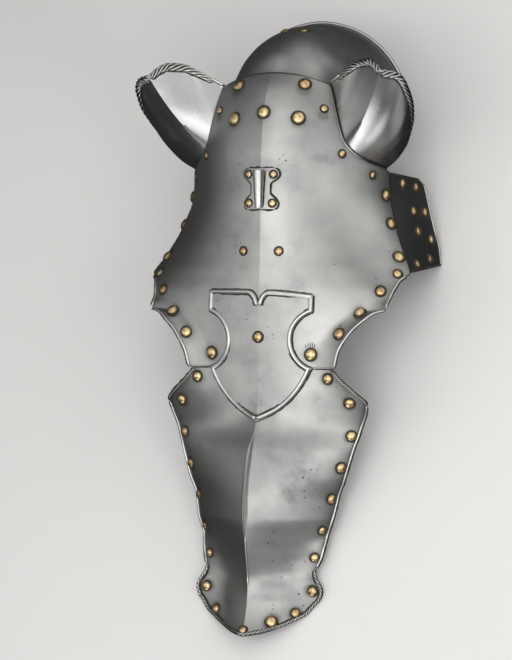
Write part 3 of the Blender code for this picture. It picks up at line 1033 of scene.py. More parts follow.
@dataclass(frozen=True)
class SidePlates:
    """The two plates behind the eyes, which come out from under the face plate's rear edge."""

    sections: tuple[Cheek, ...] = (
        Cheek(83, 119, 80, -132),
        Cheek(77, 123, 71, -143),
        Cheek(54, 128, 51, -143),
        Cheek(28, 134, 28, -143),
        Cheek(5, 140, 6, -143),
        Cheek(-16, 142, -10, -142),
    )
    tuck: float = 14.0  # breadth of the strip under the face plate
    knots: tuple[float, ...] = (0, 0.17, 1)
    rim: Border = Border(radius=0.95, inset=0.8, rise=0.1, around=12, dirt=0.7)

    def half(self, across: Array, along: Array) -> Array:
        """Points of the left plate, by shares from front to rear and from the upper to the lower edge.

        Args:
            across: Shares from front to rear.
            along: Shares from the upper to the lower edge.

        Returns:
            The points.
        """
        across, along = np.broadcast_arrays(np.asarray(across, float), along)
        points = np.empty((len(across), 3))
        rows = [(number, *row) for number, row in enumerate(self.sections)]
        for share in np.unique(along):
            here = along == share
            front_y, rear_x, rear_y, rear_z = smooth(rows, share * (len(rows) - 1))
            edge = smooth(FACE.outline, front_y)[1]
            curve = (
                FORM.at(front_y, edge - self.tuck, -UNDER_DEPTH),
                FORM.at(front_y, edge - 1, -UNDER_DEPTH),
                np.array([rear_x, rear_y, rear_z]),
            )
            points[here] = through(self.knots, curve, across[here])
        return points

    def build(self, side: Side, finishes: Finishes) -> None:
        """Makes one side's plate and the roll round its free edges.

        Args:
            side: Which side.
            finishes: What it is made of.
        """
        columns, rows = np.linspace(0, 1, 36), np.linspace(0, 1, 44)
        sheet = open_sheet(columns, rows, on_side(self.half, side), (400 * side.value, 0, 0))
        put_sheet(f"side_plate_{side}", sheet, finishes.sheet, "dark_steel")

        corner = np.linspace(self.knots[1] + 0.03, 1, 30)
        across = np.concatenate([corner, np.ones(90), corner[::-1]])
        along = np.concatenate([np.zeros(30), np.linspace(0, 1, 90), np.ones(30)])
        points = self.half(across, along)
        normals = normals_of(self.half, np.clip(across, 0.2, 0.98), np.clip(along, 0.02, 0.98), 0.01)
        if normals[60, 0] < 0:
            normals = -normals
        middle = Vector(self.half(np.array([0.5]), np.array([0.5]))[0] * side.mirror)
        build = bmesh.new()
        path = path_through(points * side.mirror, normals * side.mirror, self.rim.step, outward=middle)
        self.rim.add(build, path)
        put_border(f"side_plate_border_{side}", build, finishes, "dark_steel")


class Fold(NamedTuple):
    """A section of an ear guard, from its flange under the face plate up to its rim."""

    row: float  # of the face plate's outline, at whose end the guard rises
    rim_x: float
    rim_y: float
    rim_z: float
    belly: float  # how far it swells out half way up


@dataclass(frozen=True)
class EarGuards:
    """The two ridged scoops in front of the ears, which come out from under the face plate."""

    folds: tuple[Fold, ...] = (
        Fold(182, 57, 171.5, -31, 0),
        Fold(172, 69, 178.5, -25, 0.5),
        Fold(160, 82, 186, -18, 1),
        Fold(147, 96, 191.5, -11.5, 1.5),
        Fold(133, 108, 192, -4, 2),
        Fold(120, 118, 187, 3, 3),
        Fold(108, 125.5, 178.5, 9, 4),
        Fold(100, 139.5, 176.5, 1, 6),
        Fold(95, 146.5, 168, -9, 8),
        Fold(92, 148, 154.5, -23.5, 9),
        Fold(90, 144.5, 140.5, -39.5, 9),
        Fold(88, 137, 126, -54.5, 8),
        Fold(86.5, 127.5, 111.5, -67, 6),
        Fold(85.3, 117, 100.5, -74.5, 3),
        Fold(84.5, 106.5, 91.5, -77, 0),
    )
    ridge: int = 6  # the fold that is the ridge
    flange: float = 14.0
    clear: float = 1.6
    foot: float = 0.2
    swell: tuple[float, float, float] = (0.88, -0.42, 0.22)
    rope: Border = Border(
        style=Edge.ROPED,
        radius=3.9,
        pitch=7.0,
        strands=5,
        depth=0.42,
        gap=0.3,
        inset=0.85,
        rise=-0.3,
        around=50,
        dirt=1.1,
    )
    roll: Border = Border(radius=1.3, dirt=0.8)
    crease: float = 24.0  # degrees beyond which its ridge stays sharp
    outside: tuple[float, float, float] = (300, -200, 200)  # a place off the left guard's outer face

    def half(self, across: Array, along: Array) -> Array:
        """Points of the left guard, by folds from inner to outer end and shares from flange to rim.

        Args:
            across: Folds, from the inner to the outer end.
            along: Shares from flange to rim.

        Returns:
            The points.
        """
        index, along = np.broadcast_arrays(np.asarray(across, float), along)
        rows = [(number, *fold) for number, fold in enumerate(self.folds)]
        inner = np.stack(smooth(rows[: self.ridge + 1], index))
        outer = np.stack(smooth(rows[self.ridge :], index))
        fold = Fold(*np.where(index <= self.ridge, inner, outer))
        bend, edge_girth = smooth(FACE.outline, fold.row)[:2]
        next_bend, next_girth = smooth(FACE.outline, fold.row - 0.1)[:2]
        edge_y, next_y = fold.row + bend, fold.row - 0.1 + next_bend
        length = np.hypot(next_y - edge_y, next_girth - edge_girth)
        out_y, out_girth = (next_girth - edge_girth) / length, (edge_y - next_y) / length
        hidden = np.clip(along / self.foot, 0, 1)
        beyond = self.clear - self.flange * (1 - hidden)
        foot = FORM.at(edge_y + out_y * beyond, edge_girth + out_girth * beyond, -FLANGE_DEPTH)
        shown = np.clip((along - self.foot) / (1 - self.foot), 0, 1)[:, None]
        rim = np.stack([fold.rim_x, fold.rim_y, fold.rim_z], axis=-1)
        swell = np.sin(np.pi * shown) * fold.belly[:, None] * np.array(self.swell)
        return foot + (rim - foot) * shown + swell

    def build(self, side: Side, finishes: Finishes) -> None:
        """Makes one side's guard and the border round its rim.

        Args:
            side: Which side.
            finishes: What it is made of.
        """
        guard = on_side(self.half, side)
        outside = np.array(self.outside) * side.mirror
        last = len(self.folds) - 1
        folds = np.concatenate([np.linspace(0, self.ridge, 25), np.linspace(self.ridge, last, 49)[1:]])
        sheet = open_sheet(folds, np.linspace(0, 1, 40), guard, outside)
        put_sheet(f"ear_guard_{side}", sheet, finishes.sheet, crease=self.crease)

        build = bmesh.new()
        for border, low, high, swell in (
            (self.roll, 0.0, 1.1, None),
            (self.rope, 0.8, self.ridge, self.inner_swell),
            (self.rope, self.ridge, 12.2, lambda share: 1.1 - 0.75 * share),
            (self.roll, 11.8, last, None),
        ):
            at = np.linspace(low, high, 120)
            points, under = guard(at, np.ones(120)), guard(at, np.full(120, 0.93))
            path = path_through(points, rim_normals(points, under, outside), border.step)
            if (path.sides[len(path.sides) // 2] * (points[60] - under[60])).sum() < 0:
                path = path._replace(sides=-path.sides)
            border.add(build, path, swell, Twist.of(side.value if high <= self.ridge else -side.value))
        put_border(f"ear_guard_border_{side}", build, finishes)

    @staticmethod
    def inner_swell(share: Array) -> Array:
        """The rope's thickness from its inner end to the ridge, where it is full half way along."""
        return 1.1 - 0.65 * (1 - np.clip(share * 1.7, 0, 1)) ** 1.5 - 0.35 * share**4


@dataclass(frozen=True)
class Escutcheon:
    """The blank shield over the joint of the face and nose plates, with a half-round border."""

    top: float = -39.0
    half_breadth: float = 56.0
    hip: float = -117.0
    tip: float = -171.0
    tip_half: float = 1.5
    scallop_radius: float = 29.0
    scallop_y: float = -89.0
    point_radius: float = 95.0
    point_x: float = -34.5
    point_y: float = -82.5
    notch_depth: float = 5.5
    notch_width: float = 6.0
    slit_depth: float = 7.5
    slit_width: float = 1.8
    lean: float = 4.5  # how much lower its upper corner is on the left side
    border: Border = Border(radius=2.35, inset=0.9, rise=0.0, dirt=1.2, around=20, taper=0.8)

    @property
    def hollow_top(self) -> float:
        """Where the hollow of its side starts."""
        return 2 * self.scallop_y - self.hip

    def high(self, y: Array) -> Array:
        """How far up its head each place is, from 0 where the hollows start to 1 at the top."""
        return np.clip((y - self.hollow_top) / (self.top - self.hollow_top), 0, 1)

    def reach(self, y: Array) -> Array:
        """Half the shield's breadth.

        Args:
            y: Places along the form.

        Returns:
            Half the breadth at each.
        """
        square = self.scallop_radius**2
        hollow_x = self.half_breadth + math.sqrt(square - (self.hip - self.scallop_y) ** 2)
        hollow = hollow_x - np.sqrt(np.clip(square - (y - self.scallop_y) ** 2, 0, None))
        point = self.point_x + np.sqrt(self.point_radius**2 - (y - self.point_y) ** 2)
        reach = np.where(y < self.hip, point, np.minimum(hollow, self.half_breadth))
        return np.clip(reach, self.tip_half, None)

    def half(self, across: Array, y: Array) -> Array:
        """Points of the left half, by shares of the breadth and places along the form.

        Args:
            across: Shares of half the breadth.
            y: Places along the form.

        Returns:
            The points.
        """
        girth = self.reach(y) * across
        notch = self.notch_depth * np.exp(-((girth / self.notch_width) ** 2))
        notch = notch + self.slit_depth * np.exp(-girth / self.slit_width)
        return FORM.at(y - notch * self.high(y), girth, LAYER)

    def place(self, across: Array, row: Array) -> Array:
        """Points of the whole shield."""
        down = self.lean * self.high(row) * np.clip(across, 0, 1) ** 1.5
        return hammered(mirrored(self.half)(across, row - down))

    def build(self, finishes: Finishes) -> None:
        """Makes the shield and its border, with painted shade lines beside the border.

        Args:
            finishes: What it is made of.
        """
        head = np.linspace(self.top, self.hollow_top, 14)
        hollow = np.linspace(self.hollow_top, self.hip, 24)
        rows = np.concatenate([head[:-1], hollow[:-1], np.linspace(self.hip, self.tip, 26)])
        sheet = open_sheet(dense(self.half_breadth, 2.4), rows, self.place)
        put_sheet("escutcheon", sheet, finishes.sheet)

        middle = Vector(self.place(np.zeros(1), np.full(1, (self.top + self.tip) / 2))[0])
        across = np.linspace(1, 0, 60) ** 1.6
        head = np.linspace(self.top, self.hollow_top, 20)
        down = np.concatenate([head, np.linspace(self.hollow_top, self.tip, 160)[1:]])
        build = bmesh.new()
        for sign in (1, -1):
            top = self.place(across * sign, np.full(60, self.top))
            top = np.concatenate([top, [top[-1] + 2.4 * (top[-1] - top[-3])]])
            for points in (top, self.place(np.full(len(down), float(sign)), down)):
                path = level_path(points, self.border.step, middle)
                self.border.add(build, path)
                # a painted shadow at the shield's foot, on the plates below it
                add_dirt(build, path, out=0.5, up=-LAYER + 0.1, breadth=1.0, material=1)
        put_border("escutcheon_border", build, finishes)


class Reach(NamedTuple):
    """Half the breadth of a flat outline."""

    y: float
    reach: float


@dataclass(frozen=True)
class PlumeHolder:
    """The tapered tube for a plume, on its lobed strap."""

    strap: tuple[Reach, ...] = (
        Reach(83, 14),
        Reach(80.5, 17.5),
        Reach(77, 18.6),
        Reach(73.5, 17),
        Reach(70, 12),
        Reach(66, 9.5),
        Reach(58, 9.5),
        Reach(54.5, 12),
        Reach(51, 16),
        Reach(47.7, 17.6),
        Reach(44, 16.5),
        Reach(42, 14),
    )
    top: float = 81.0
    bottom: float = 43.0
    top_radius: float = 5.6
    bottom_radius: float = 3.7
    wall: float = 0.9
    lip: float = 0.25  # of the tube's broken edges
    sink: float = 0.7  # of the tube into the strap
    middle: tuple[float, float, float] = (0, 62, 10)
    crease: float = 30.0  # degrees beyond which an edge stays sharp

    def half(self, across: Array, y: Array) -> Array:
        """Points of the strap's left half."""
        return FORM.at(y, smooth(self.strap, y)[0] * across, LAYER)

    def build(self, finishes: Finishes) -> None:
        """Makes the painted shade round it, and the strap and the tube as one piece.

        Args:
            finishes: What it is made of.
        """
        ends = (self.strap[0].y, self.strap[-1].y)
        self.build_dirt(ends, finishes.dirt)
        build = open_sheet(dense(18, 1.2, 0.5), np.linspace(*ends, 48), mirrored(self.half))
        bmesh.ops.solidify(build, geom=build.faces[:], thickness=SHEET)
        bmesh.ops.recalc_face_normals(build, faces=build.faces[:])
        self.add_tube(build)
        piece = laid("plume_holder_worn", build, [finishes.sheet, finishes.edge], self.crease)
        put(piece, "steel", "plume_holder")

    def build_dirt(self, ends: tuple[float, float], dirt: Material) -> None:
        """Makes the lines of painted shade round the strap and beside the tube.

        Args:
            ends: Where the strap starts and ends.
            dirt: The material of the painted shade.
        """
        build = bmesh.new()
        for sign in (-1, 1):
            outlines = [(np.full(90, float(sign)), np.linspace(*ends, 90))]
            outlines += [(np.linspace(0, sign, 30), np.full(30, y)) for y in ends]
            for shares, places in outlines:
                path = level_path(mirrored(self.half)(shares, places), 1.0, self.middle)
                add_dirt(build, path, out=0.5, up=-LAYER + 0.1, breadth=1.6)
            y = np.array([self.bottom, self.top])
            reach = np.array([self.bottom_radius, self.top_radius]) - 0.6
            seam = np.stack([sign * reach, y, FORM.at(y, reach, LAYER)[:, 2]], axis=-1)
            add_dirt(build, level_path(seam, 1.0, self.middle), out=0.3, up=0.1, breadth=1.0)
        put_dirt("plume_holder_dirt", build, dirt)

    def add_tube(self, build: Build) -> None:
        """Adds the tube, open at both ends.

        Args:
            build: The mesh to add to.
        """
        low, high = (
            Vector((0, y, FORM.bare(np.array([y]), np.array([0.0]))[0, 2] + LAYER + radius - self.sink))
            for y, radius in ((self.bottom, self.bottom_radius), (self.top, self.top_radius))
        )
        axis = high - low
        section = (
            (self.bottom_radius - self.lip, 0),
            (self.bottom_radius, self.lip),
            (self.top_radius, axis.length - self.lip),
            (self.top_radius - self.lip, axis.length),
            (self.top_radius - self.wall + self.lip, axis.length),
            (self.top_radius - self.wall, axis.length - self.lip),
            (self.bottom_radius - self.wall, 0),
        )
        tube = add_turned(build, (*section, section[0]), 48, 1)
        bmesh.ops.rotate(build, verts=tube, matrix=axis.to_track_quat("Z", "Y").to_matrix())
        bmesh.ops.translate(build, verts=tube, vec=low)


class Run(NamedTuple):
    """A stretch of a plate, from its upper place down."""

    high: float
    low: float


@dataclass(frozen=True)
class Borders:
    """The borders of the face and nose plates."""

    eye: Border = Border(radius=1.5, inset=0.6, dirt=0.7)
    neck: Border = Border(
        style=Edge.ROPED, radius=1.25, pitch=2.9, strands=3, depth=0.4, inset=0.6, around=14, dirt=1.2
    )
    flank: Border = Border(radius=1.4, inset=0.6, dirt=0.9)
    muzzle: Border = Border(
        style=Edge.ROPED,
        radius=1.7,
        pitch=4.5,
        strands=3,
        depth=0.4,
        inset=0.8,
        rise=1.2,
        around=18,
        dirt=1.2,
    )
    keel: Border = Border(
        style=Edge.ROPED,
        radius=3.3,
        pitch=3.5,
        strands=6,
        depth=0.34,
        gap=0.4,
        inset=0.0,
        rise=-1.3,
        around=54,
        dirt=0,
        taper=34,
    )
    keel_bead: Border = Border(radius=1.1, inset=0.0, rise=-0.2, dirt=0.0, taper=6)
    eye_runs: tuple[Run, ...] = (Run(-23, -57.5), Run(-58.5, -117))
    neck_run: Run = Run(-119, -153)
    flank_run: Run = Run(-153, -315)
    keel_run: Run = Run(-176, -292)
    bead_run: Run = Run(-284, -336)
    muzzle_top: float = -316.0
    in_muzzle: tuple[float, float, float] = (0, -345, 10)
    ear_foot: float = 84.0  # where the ear guards end on the face plate
    eye_brow: float = -20.0  # where its eye cut-outs start

    def build(self, finishes: Finishes) -> None:
        """Makes the eye lips, the nose plate's borders and its keel.

        Args:
            finishes: What they are made of.
        """
        eye_runs = [(self.eye, run) for run in self.eye_runs]
        nose_runs = [(self.neck, self.neck_run), (self.flank, self.flank_run)]
        for side in Side:
            for name, plate, runs in (("eye_lip", FACE, eye_runs), ("nose_border", NOSE, nose_runs)):
                build = bmesh.new()
                for border, run in runs:
                    border.add(build, plate.edge(*run, side, border.step))
                put_border(f"{name}_{side}", build, finishes)

        # painted shadows under the face plate's edges
        self.build_dirt(finishes.dirt)

        left, right = (NOSE.edge(self.muzzle_top, NOSE.low, side, self.muzzle.step) for side in Side)
        points = np.concatenate([left.points, right.points[::-1]])
        normals = np.concatenate([left.normals, right.normals[::-1]])
        build = bmesh.new()
        self.muzzle.add(build, path_through(points, normals, self.muzzle.step, outward=self.in_muzzle))
        put_border("muzzle_border", build, finishes)

        build = bmesh.new()
        for border, run in ((self.keel, self.keel_run), (self.keel_bead, self.bead_run)):
            points = FORM.at(np.linspace(*run, 200), np.zeros(200))
            border.add(build, level_path(points, border.step), twist=Twist.RIGHT_HANDED)
        put_border("keel_rope", build, finishes)

    def build_dirt(self, dirt: Material) -> None:
        """Makes painted shadows where the face plate's edges lie on the other plates.

        Args:
            dirt: The material of the painted shadows.
        """
        step = 1.2
        build = bmesh.new()
        add_dirt(build, FACE.end(FACE.top, step), out=0.4, up=-UNDER_DEPTH + 0.3, breadth=0.9)
        add_dirt(build, FACE.end(FACE.low, step), out=0.4, up=-LAYER + 0.2, breadth=0.9)
        for side in Side:
            edge = FACE.edge(FACE.top, self.ear_foot, side, step)
            add_dirt(build, edge, out=0.8, up=-FLANGE_DEPTH + 0.4, breadth=1.3)
            edge = FACE.edge(self.ear_foot, self.eye_brow, side, step)
            add_dirt(build, edge, out=0.5, up=-UNDER_DEPTH + 0.3, breadth=0.9)
        put_dirt("face_plate_dirt", build, dirt)


class Pit(NamedTuple):
    """A rust pit in a plate, or a short stroke that a tool has left."""

    y: float
    across: float  # from the ridge towards the horse's left
    radius: float
    length: float = 0.0  # of a stroke, along the face


@dataclass(frozen=True)
class Pits:
    """The deepest pits and strokes, which are black with old rust."""

    pits: tuple[Pit, ...] = (
        Pit(-291, 24, 1.0),
        Pit(-279, 29, 0.7),
        Pit(-326, 36, 0.8),
        Pit(-343, 52, 1.0),
        Pit(-353, 26, 0.7),
        Pit(-357, 26.5, 0.8),
        Pit(-361, 26, 0.6),
        Pit(-289, 47, 0.6),
        Pit(-309, 28, 0.7),
        Pit(-310, 43, 0.6),
        Pit(-310, 61, 0.8),
        Pit(-322, 62, 0.7),
        Pit(-287, -8, 0.7),
        Pit(-166, -7, 1.0),
        Pit(-167, 2, 0.8),
        Pit(-131, -45, 0.8),
        Pit(-74, 84, 1.0),
        Pit(-57, -53, 0.9),
        Pit(-61, -46, 0.8),
        Pit(87, -26, 0.8),
        Pit(-94.5, 49, 0.5, 3.5),
        Pit(-93.5, 51.3, 0.5, 5),
        Pit(-93, 53.6, 0.5, 5.5),
        Pit(-93.5, 55.9, 0.5, 5),
        Pit(-94.5, 58, 0.5, 4),
    )
    sink: float = 0.05

    def build(self, dirt: Material) -> None:
        """Makes them as low lenses of rust in the plates' faces.

        Args:
            dirt: The material of old rust.
        """
        build = bmesh.new()
        for pit in self.pits:
            plate = NOSE if pit.y < FACE.low else FACE
            y, girth = np.array([pit.y]), np.array([abs(pit.across)])
            flip = Vector((math.copysign(1, pit.across), 1, 1))
            place = Vector(hammered(np.array([Vector(plate.surface(y, girth)[0]) * flip]))[0])
            normal = Vector(normals_of(plate.surface, y, girth)[0]) * flip
            ball = bmesh.ops.create_icosphere(build, subdivisions=2, radius=pit.radius)["verts"]
            bmesh.ops.scale(build, verts=ball, vec=(1, 1 + 0.5 * pit.length / pit.radius, 0.2))
            side = Vector((0, 1, 0)).cross(normal).normalized()
            turn = Matrix((side, normal.cross(side), normal)).transposed()
            bmesh.ops.rotate(build, verts=ball, matrix=turn)
            bmesh.ops.translate(build, verts=ball, vec=place - self.sink * normal)
        put_dirt("deep_pits", build, dirt)


# ---- rivets ----


@dataclass(frozen=True)
class RivetSet:
    """Rivets whose places are on one surface."""

    surface: Place
    rivets: tuple[Rivet, ...]
    in_cad: bool = True
    by_share: bool = False  # places are shares of the surface, not millimetres


class Seat(NamedTuple):
    """Where a rivet goes through its plate."""

    place: Vector
    normal: Vector
    height: float  # of the head's underside over the place


@dataclass
class Rivets:
    """All the rivets: domed brass heads with a dark ring round them, of painted shade and grime, on shanks
    with flat tails.
    """

    sets: tuple[RivetSet, ...]
    lift: float = 0.3  # of a head over its plate
    foot_gap: float = 0.7  # between a plate's inner face and a tail
    thin_shank: float = 1.5  # radius, of a rivet with a small head
    thick_shank: float = 2.0
    small_head: float = 4.0  # a radius below this is small
    tail: float = 0.9  # how far it spreads past the shank
    tail_thickness: float = 0.5
    head_rise: float = 0.5  # height of a dome, as a share of its radius
    rubbed: float = 0.62  # radius that stays bright, as a share of a head's; beyond it the dome is darkened by tarnish and painted shade
    clearing: float = 1.08  # radius that the plate must clear round a head, as a share of the head's
    around: int = 28  # number of sides
    crease: float = 50.0  # degrees beyond which an edge stays sharp
    inside_y: float = 60.0  # heads face away from a place at their own y, but no further up than this
    inside_z: float = -120.0  # and this far under the face
    draws: random.Random = field(default_factory=lambda: random.Random(11))

    def seat_of(self, group: RivetSet, rivet: Rivet) -> Seat:
        """Where a rivet goes through its plate, on the left side.

        Args:
            group: The set that it is in.
            rivet: The rivet.

        Returns:
            Its seat.
        """
        first, second = np.array([float(rivet.first)]), np.array([float(rivet.second)])
        step = SHARE_STEP if group.by_share else STEP
        place, normal = group.surface(first, second)[0], normals_of(group.surface, first, second, step)[0]
        if rivet.second == 0:
            normal[0] = 0
            normal = unit(normal)
        if normal @ (place - np.array([0, min(place[1], self.inside_y), self.inside_z])) < 0:
            normal = -normal
        rise = 0.0
        if not group.by_share:
            turns = np.linspace(0, 2 * np.pi, 16, endpoint=False)
            reach = self.clearing * rivet.radius
            rim = group.surface(first + reach * np.cos(turns), np.abs(second + reach * np.sin(turns)))
            rise = max(0.0, ((rim - place) @ normal).max())
        return Seat(Vector(place), Vector(normal), self.lift + rise)

    def add_body(self, build: Build, rivet: Rivet, seat: Seat) -> None:
        """Adds a rivet's head, shank and tail, none quite like the next.

        Args:
            build: The mesh to add to.
            rivet: Its sizes.
            seat: Where it goes through its plate.
        """
        radius = rivet.radius
        shank = self.thin_shank if radius < self.small_head else self.thick_shank
        foot = -seat.height - rivet.depth - SHEET - self.foot_gap
        rise = self.head_rise * radius * self.draws.uniform(0.88, 1.1)
        angles = np.radians([78, 66, 54, 42, 30, 18, 7])
        dome = [
            (radius * math.cos(angle) * (1 - 0.03 * math.sin(2 * angle)), rise * math.sin(angle) ** 1.12)
            for angle in angles
        ]
        section = (
            (0.0, rise),
            *dome,
            (radius, -0.25),
            (shank, -self.lift),
            (shank, foot),
            (shank + self.tail, foot),
            (shank + self.tail, foot - self.tail_thickness * 0.6),
            (shank + self.tail * 0.6, foot - self.tail_thickness),
            (0, foot - self.tail_thickness),
        )
        layer = build.verts.layers.float.new(DIRT_AND_SHADE)
        corners = add_turned(build, section, self.around, 0)
        squeeze, twist = self.draws.uniform(-0.035, 0.035), self.draws.uniform(0, math.pi)
        bmesh.ops.rotate(build, verts=corners, matrix=Matrix.Rotation(twist, 3, "Z"))
        bmesh.ops.scale(build, verts=corners, vec=(1 + squeeze, 1 - squeeze, 1))
        # darkens each head from its bright top out to its foot: tarnish, and painted shade on the dome's
        # flank
        for corner in corners:
            out = corner.co.xy.length / radius
            corner[layer] = 0.95 * min(1.0, max(0.0, (out - self.rubbed) / (1 - self.rubbed))) ** 1.4
            if corner.co.z > 0.01:
                place = corner.co * 0.32 + Vector((twist * 7, rivet.first * 0.1, 0))
                corner.co.z += 0.1 * noise.noise(place)

    def add_ring(self, build: Build, radius: float, height: float) -> None:
        """Adds the dark ring between a head of this radius and its plate: painted shade, with grime.

        Args:
            build: The mesh to add to.
            radius: The head's radius.
            height: How far the head is over the plate.
        """
        low = -height - 0.5
        section = (
            (radius - 0.5, low),
            (radius - 0.4, -0.05),
            (radius + 0.45, -height * 0.5 + 0.2),
            (radius + 1.15, -height + 0.16),
            (radius + 1.6, low),
            (radius - 0.5, low),
        )
        add_turned(build, section, self.around, 1)

    def mesh_of(self, rivet: Rivet, seat: Seat, side: Side) -> Build:
        """Makes the mesh of one rivet, where it sits on its side of the armour.

        Args:
            rivet: Its sizes.
            seat: Where it goes through its plate, on the left side.
            side: Which side.

        Returns:
            The mesh, in the horse's frame.
        """
        build = bmesh.new()
        self.add_body(build, rivet, seat)
        self.add_ring(build, rivet.radius, seat.height)
        flip = Vector(side.mirror)
        way = seat.normal * flip
        lean, tip = (Matrix.Rotation(self.draws.uniform(-0.05, 0.05), 3, axis) for axis in "XY")
        turn = way.to_track_quat("Z", "Y").to_matrix() @ (lean @ tip)
        bmesh.ops.rotate(build, verts=build.verts[:], matrix=turn)
        bmesh.ops.translate(build, verts=build.verts[:], vec=seat.place * flip + way * seat.height)
        return build

    def build(self, brass: Material, dirt: Material) -> None:
        """Makes every rivet, in place of its node if it has one.

        Args:
            brass: The rivets' material.
            dirt: The material of the dark rings: painted shade and grime.
        """
        for group in self.sets:
            for rivet in group.rivets:
                seat = self.seat_of(group, rivet)
                for side in Side if rivet.paired else (Side.LEFT,):
                    name = f"rivet_{rivet.name}_{side}" if rivet.paired else f"rivet_{rivet.name}"
                    piece = laid(f"{name}_worn", self.mesh_of(rivet, seat, side), [brass, dirt], self.crease)
                    put(piece, "brass", *([name] if group.in_cad else []))


# ---- finishes ----


RUST = (0.06, 0.055, 0.05)
# the darkest mark on steel: grime, and painted shade in grooves and round rivets
GRIME_AND_SHADE = (0.03, 0.028, 0.025)


@dataclass(frozen=True)
class SteelFinish:
    """Old polished steel: satin, with hammer shades, fine scratches, dark pits and stains."""

    name: str
    bright: Colour
    dull: Colour
    roughness: float
    rough_spread: float = 0.1
    pits: float = 1.0
    stains: float = 1.0
    grain: float = 0.22  # strength of its bumps
    scratch: float = 0.35


@dataclass(frozen=True)
class BrassFinish:
    """Brass that is bright on top and darker lower down: tarnish, and painted shade on the dome's flank."""

    name: str = "rivet_brass"
    bright: Colour = (0.80, 0.62, 0.34)
    brown: Colour = (0.57, 0.37, 0.19)
    foot: Colour = (0.05, 0.028, 0.014)  # where it meets the plate: tarnish and painted shade
    roughness: float = 0.34


class Nodes:
    """A short way to lay out a node tree."""

    def __init__(self, tree: bpy.types.NodeTree) -> None:
        """Keeps the tree that nodes are added to."""
        self.tree = tree
        self.count = 0

    def add(self, kind: str, inputs: dict | None = None, **settings: object) -> bpy.types.Node:
        """Adds a node.

        Args:
            kind: Its type, without the leading ShaderNode.
            inputs: Values or sockets for its inputs, by name or number.
            **settings: Its other properties.

        Returns:
            The node.
        """
        node = self.tree.nodes.new("ShaderNode" + kind if not kind.startswith("NodeGroup") else kind)
        node.location = (self.count % 8 * 220, -(self.count // 8) * 320)
        self.count += 1
        for key, value in settings.items():
            setattr(node, key, value)
        for key, value in (inputs or {}).items():
            self.feed(node.inputs[key], value)
        return node

    def feed(self, entry: Socket, value: object) -> None:
        """Gives an input its value, or the socket that it comes from.

        Args:
            entry: The input.
            value: A value or a socket.
        """
        if isinstance(value, Socket):
            self.tree.links.new(value, entry)
        else:
            entry.default_value = value

    def ramp(self, factor: Socket, low: float, high: float) -> Socket:
        """Maps low to 0 and high to 1, smoothly, and holds them beyond."""
        inputs = {"Value": factor, "From Min": low, "From Max": high}
        return self.add("MapRange", inputs, interpolation_type="SMOOTHSTEP").outputs["Result"]

    def math(self, operation: str, first: object, second: object) -> Socket:
        """One sum of two values."""
        return self.add("Math", {0: first, 1: second}, operation=operation).outputs[0]

    def times(self, first: object, second: object) -> Socket:
        """The product of two values."""
        return self.math("MULTIPLY", first, second)

    def plus(self, first: object, *others: object) -> Socket:
        """The sum of two or more values.

        Args:
            first: A value or socket.
            *others: More of them.

        Returns:
            The sum.
        """
        for other in others:
            first = self.math("ADD", first, other)
        return first

    def minus(self, first: object, *others: object) -> Socket:
        """What is left of a value after the others are taken away.

        Args:
            first: A value or socket.
            *others: What is taken away from it.

        Returns:
            What is left.
        """
        for other in others:
            first = self.math("SUBTRACT", first, other)
        return first

    def mix(self, factor: object, first: object, second: object) -> Socket:
        """A colour between two colours."""
        ends = (end if isinstance(end, Socket) else (*end, 1.0) for end in (first, second))
        return self.add("Mix", dict(zip((0, 6, 7), (factor, *ends))), data_type="RGBA").outputs[2]

    def noise(self, vector: Socket, scale: float, detail: float = 3.0, roughness: float = 0.55) -> Socket:
        """Soft noise from 0 to 1."""
        inputs = {"Vector": vector, "Scale": scale, "Detail": detail, "Roughness": roughness}
        return self.add("TexNoise", inputs).outputs["Fac"]

    def place(self) -> Socket:
        """Places on the object."""
        return self.add("TexCoord").outputs["Object"]

    def dirt(self) -> Socket:
        """How dark the mesh is painted, by dirt and painted shade, from 0 to 1."""
        return self.add("Attribute", attribute_name=DIRT_AND_SHADE).outputs["Fac"]


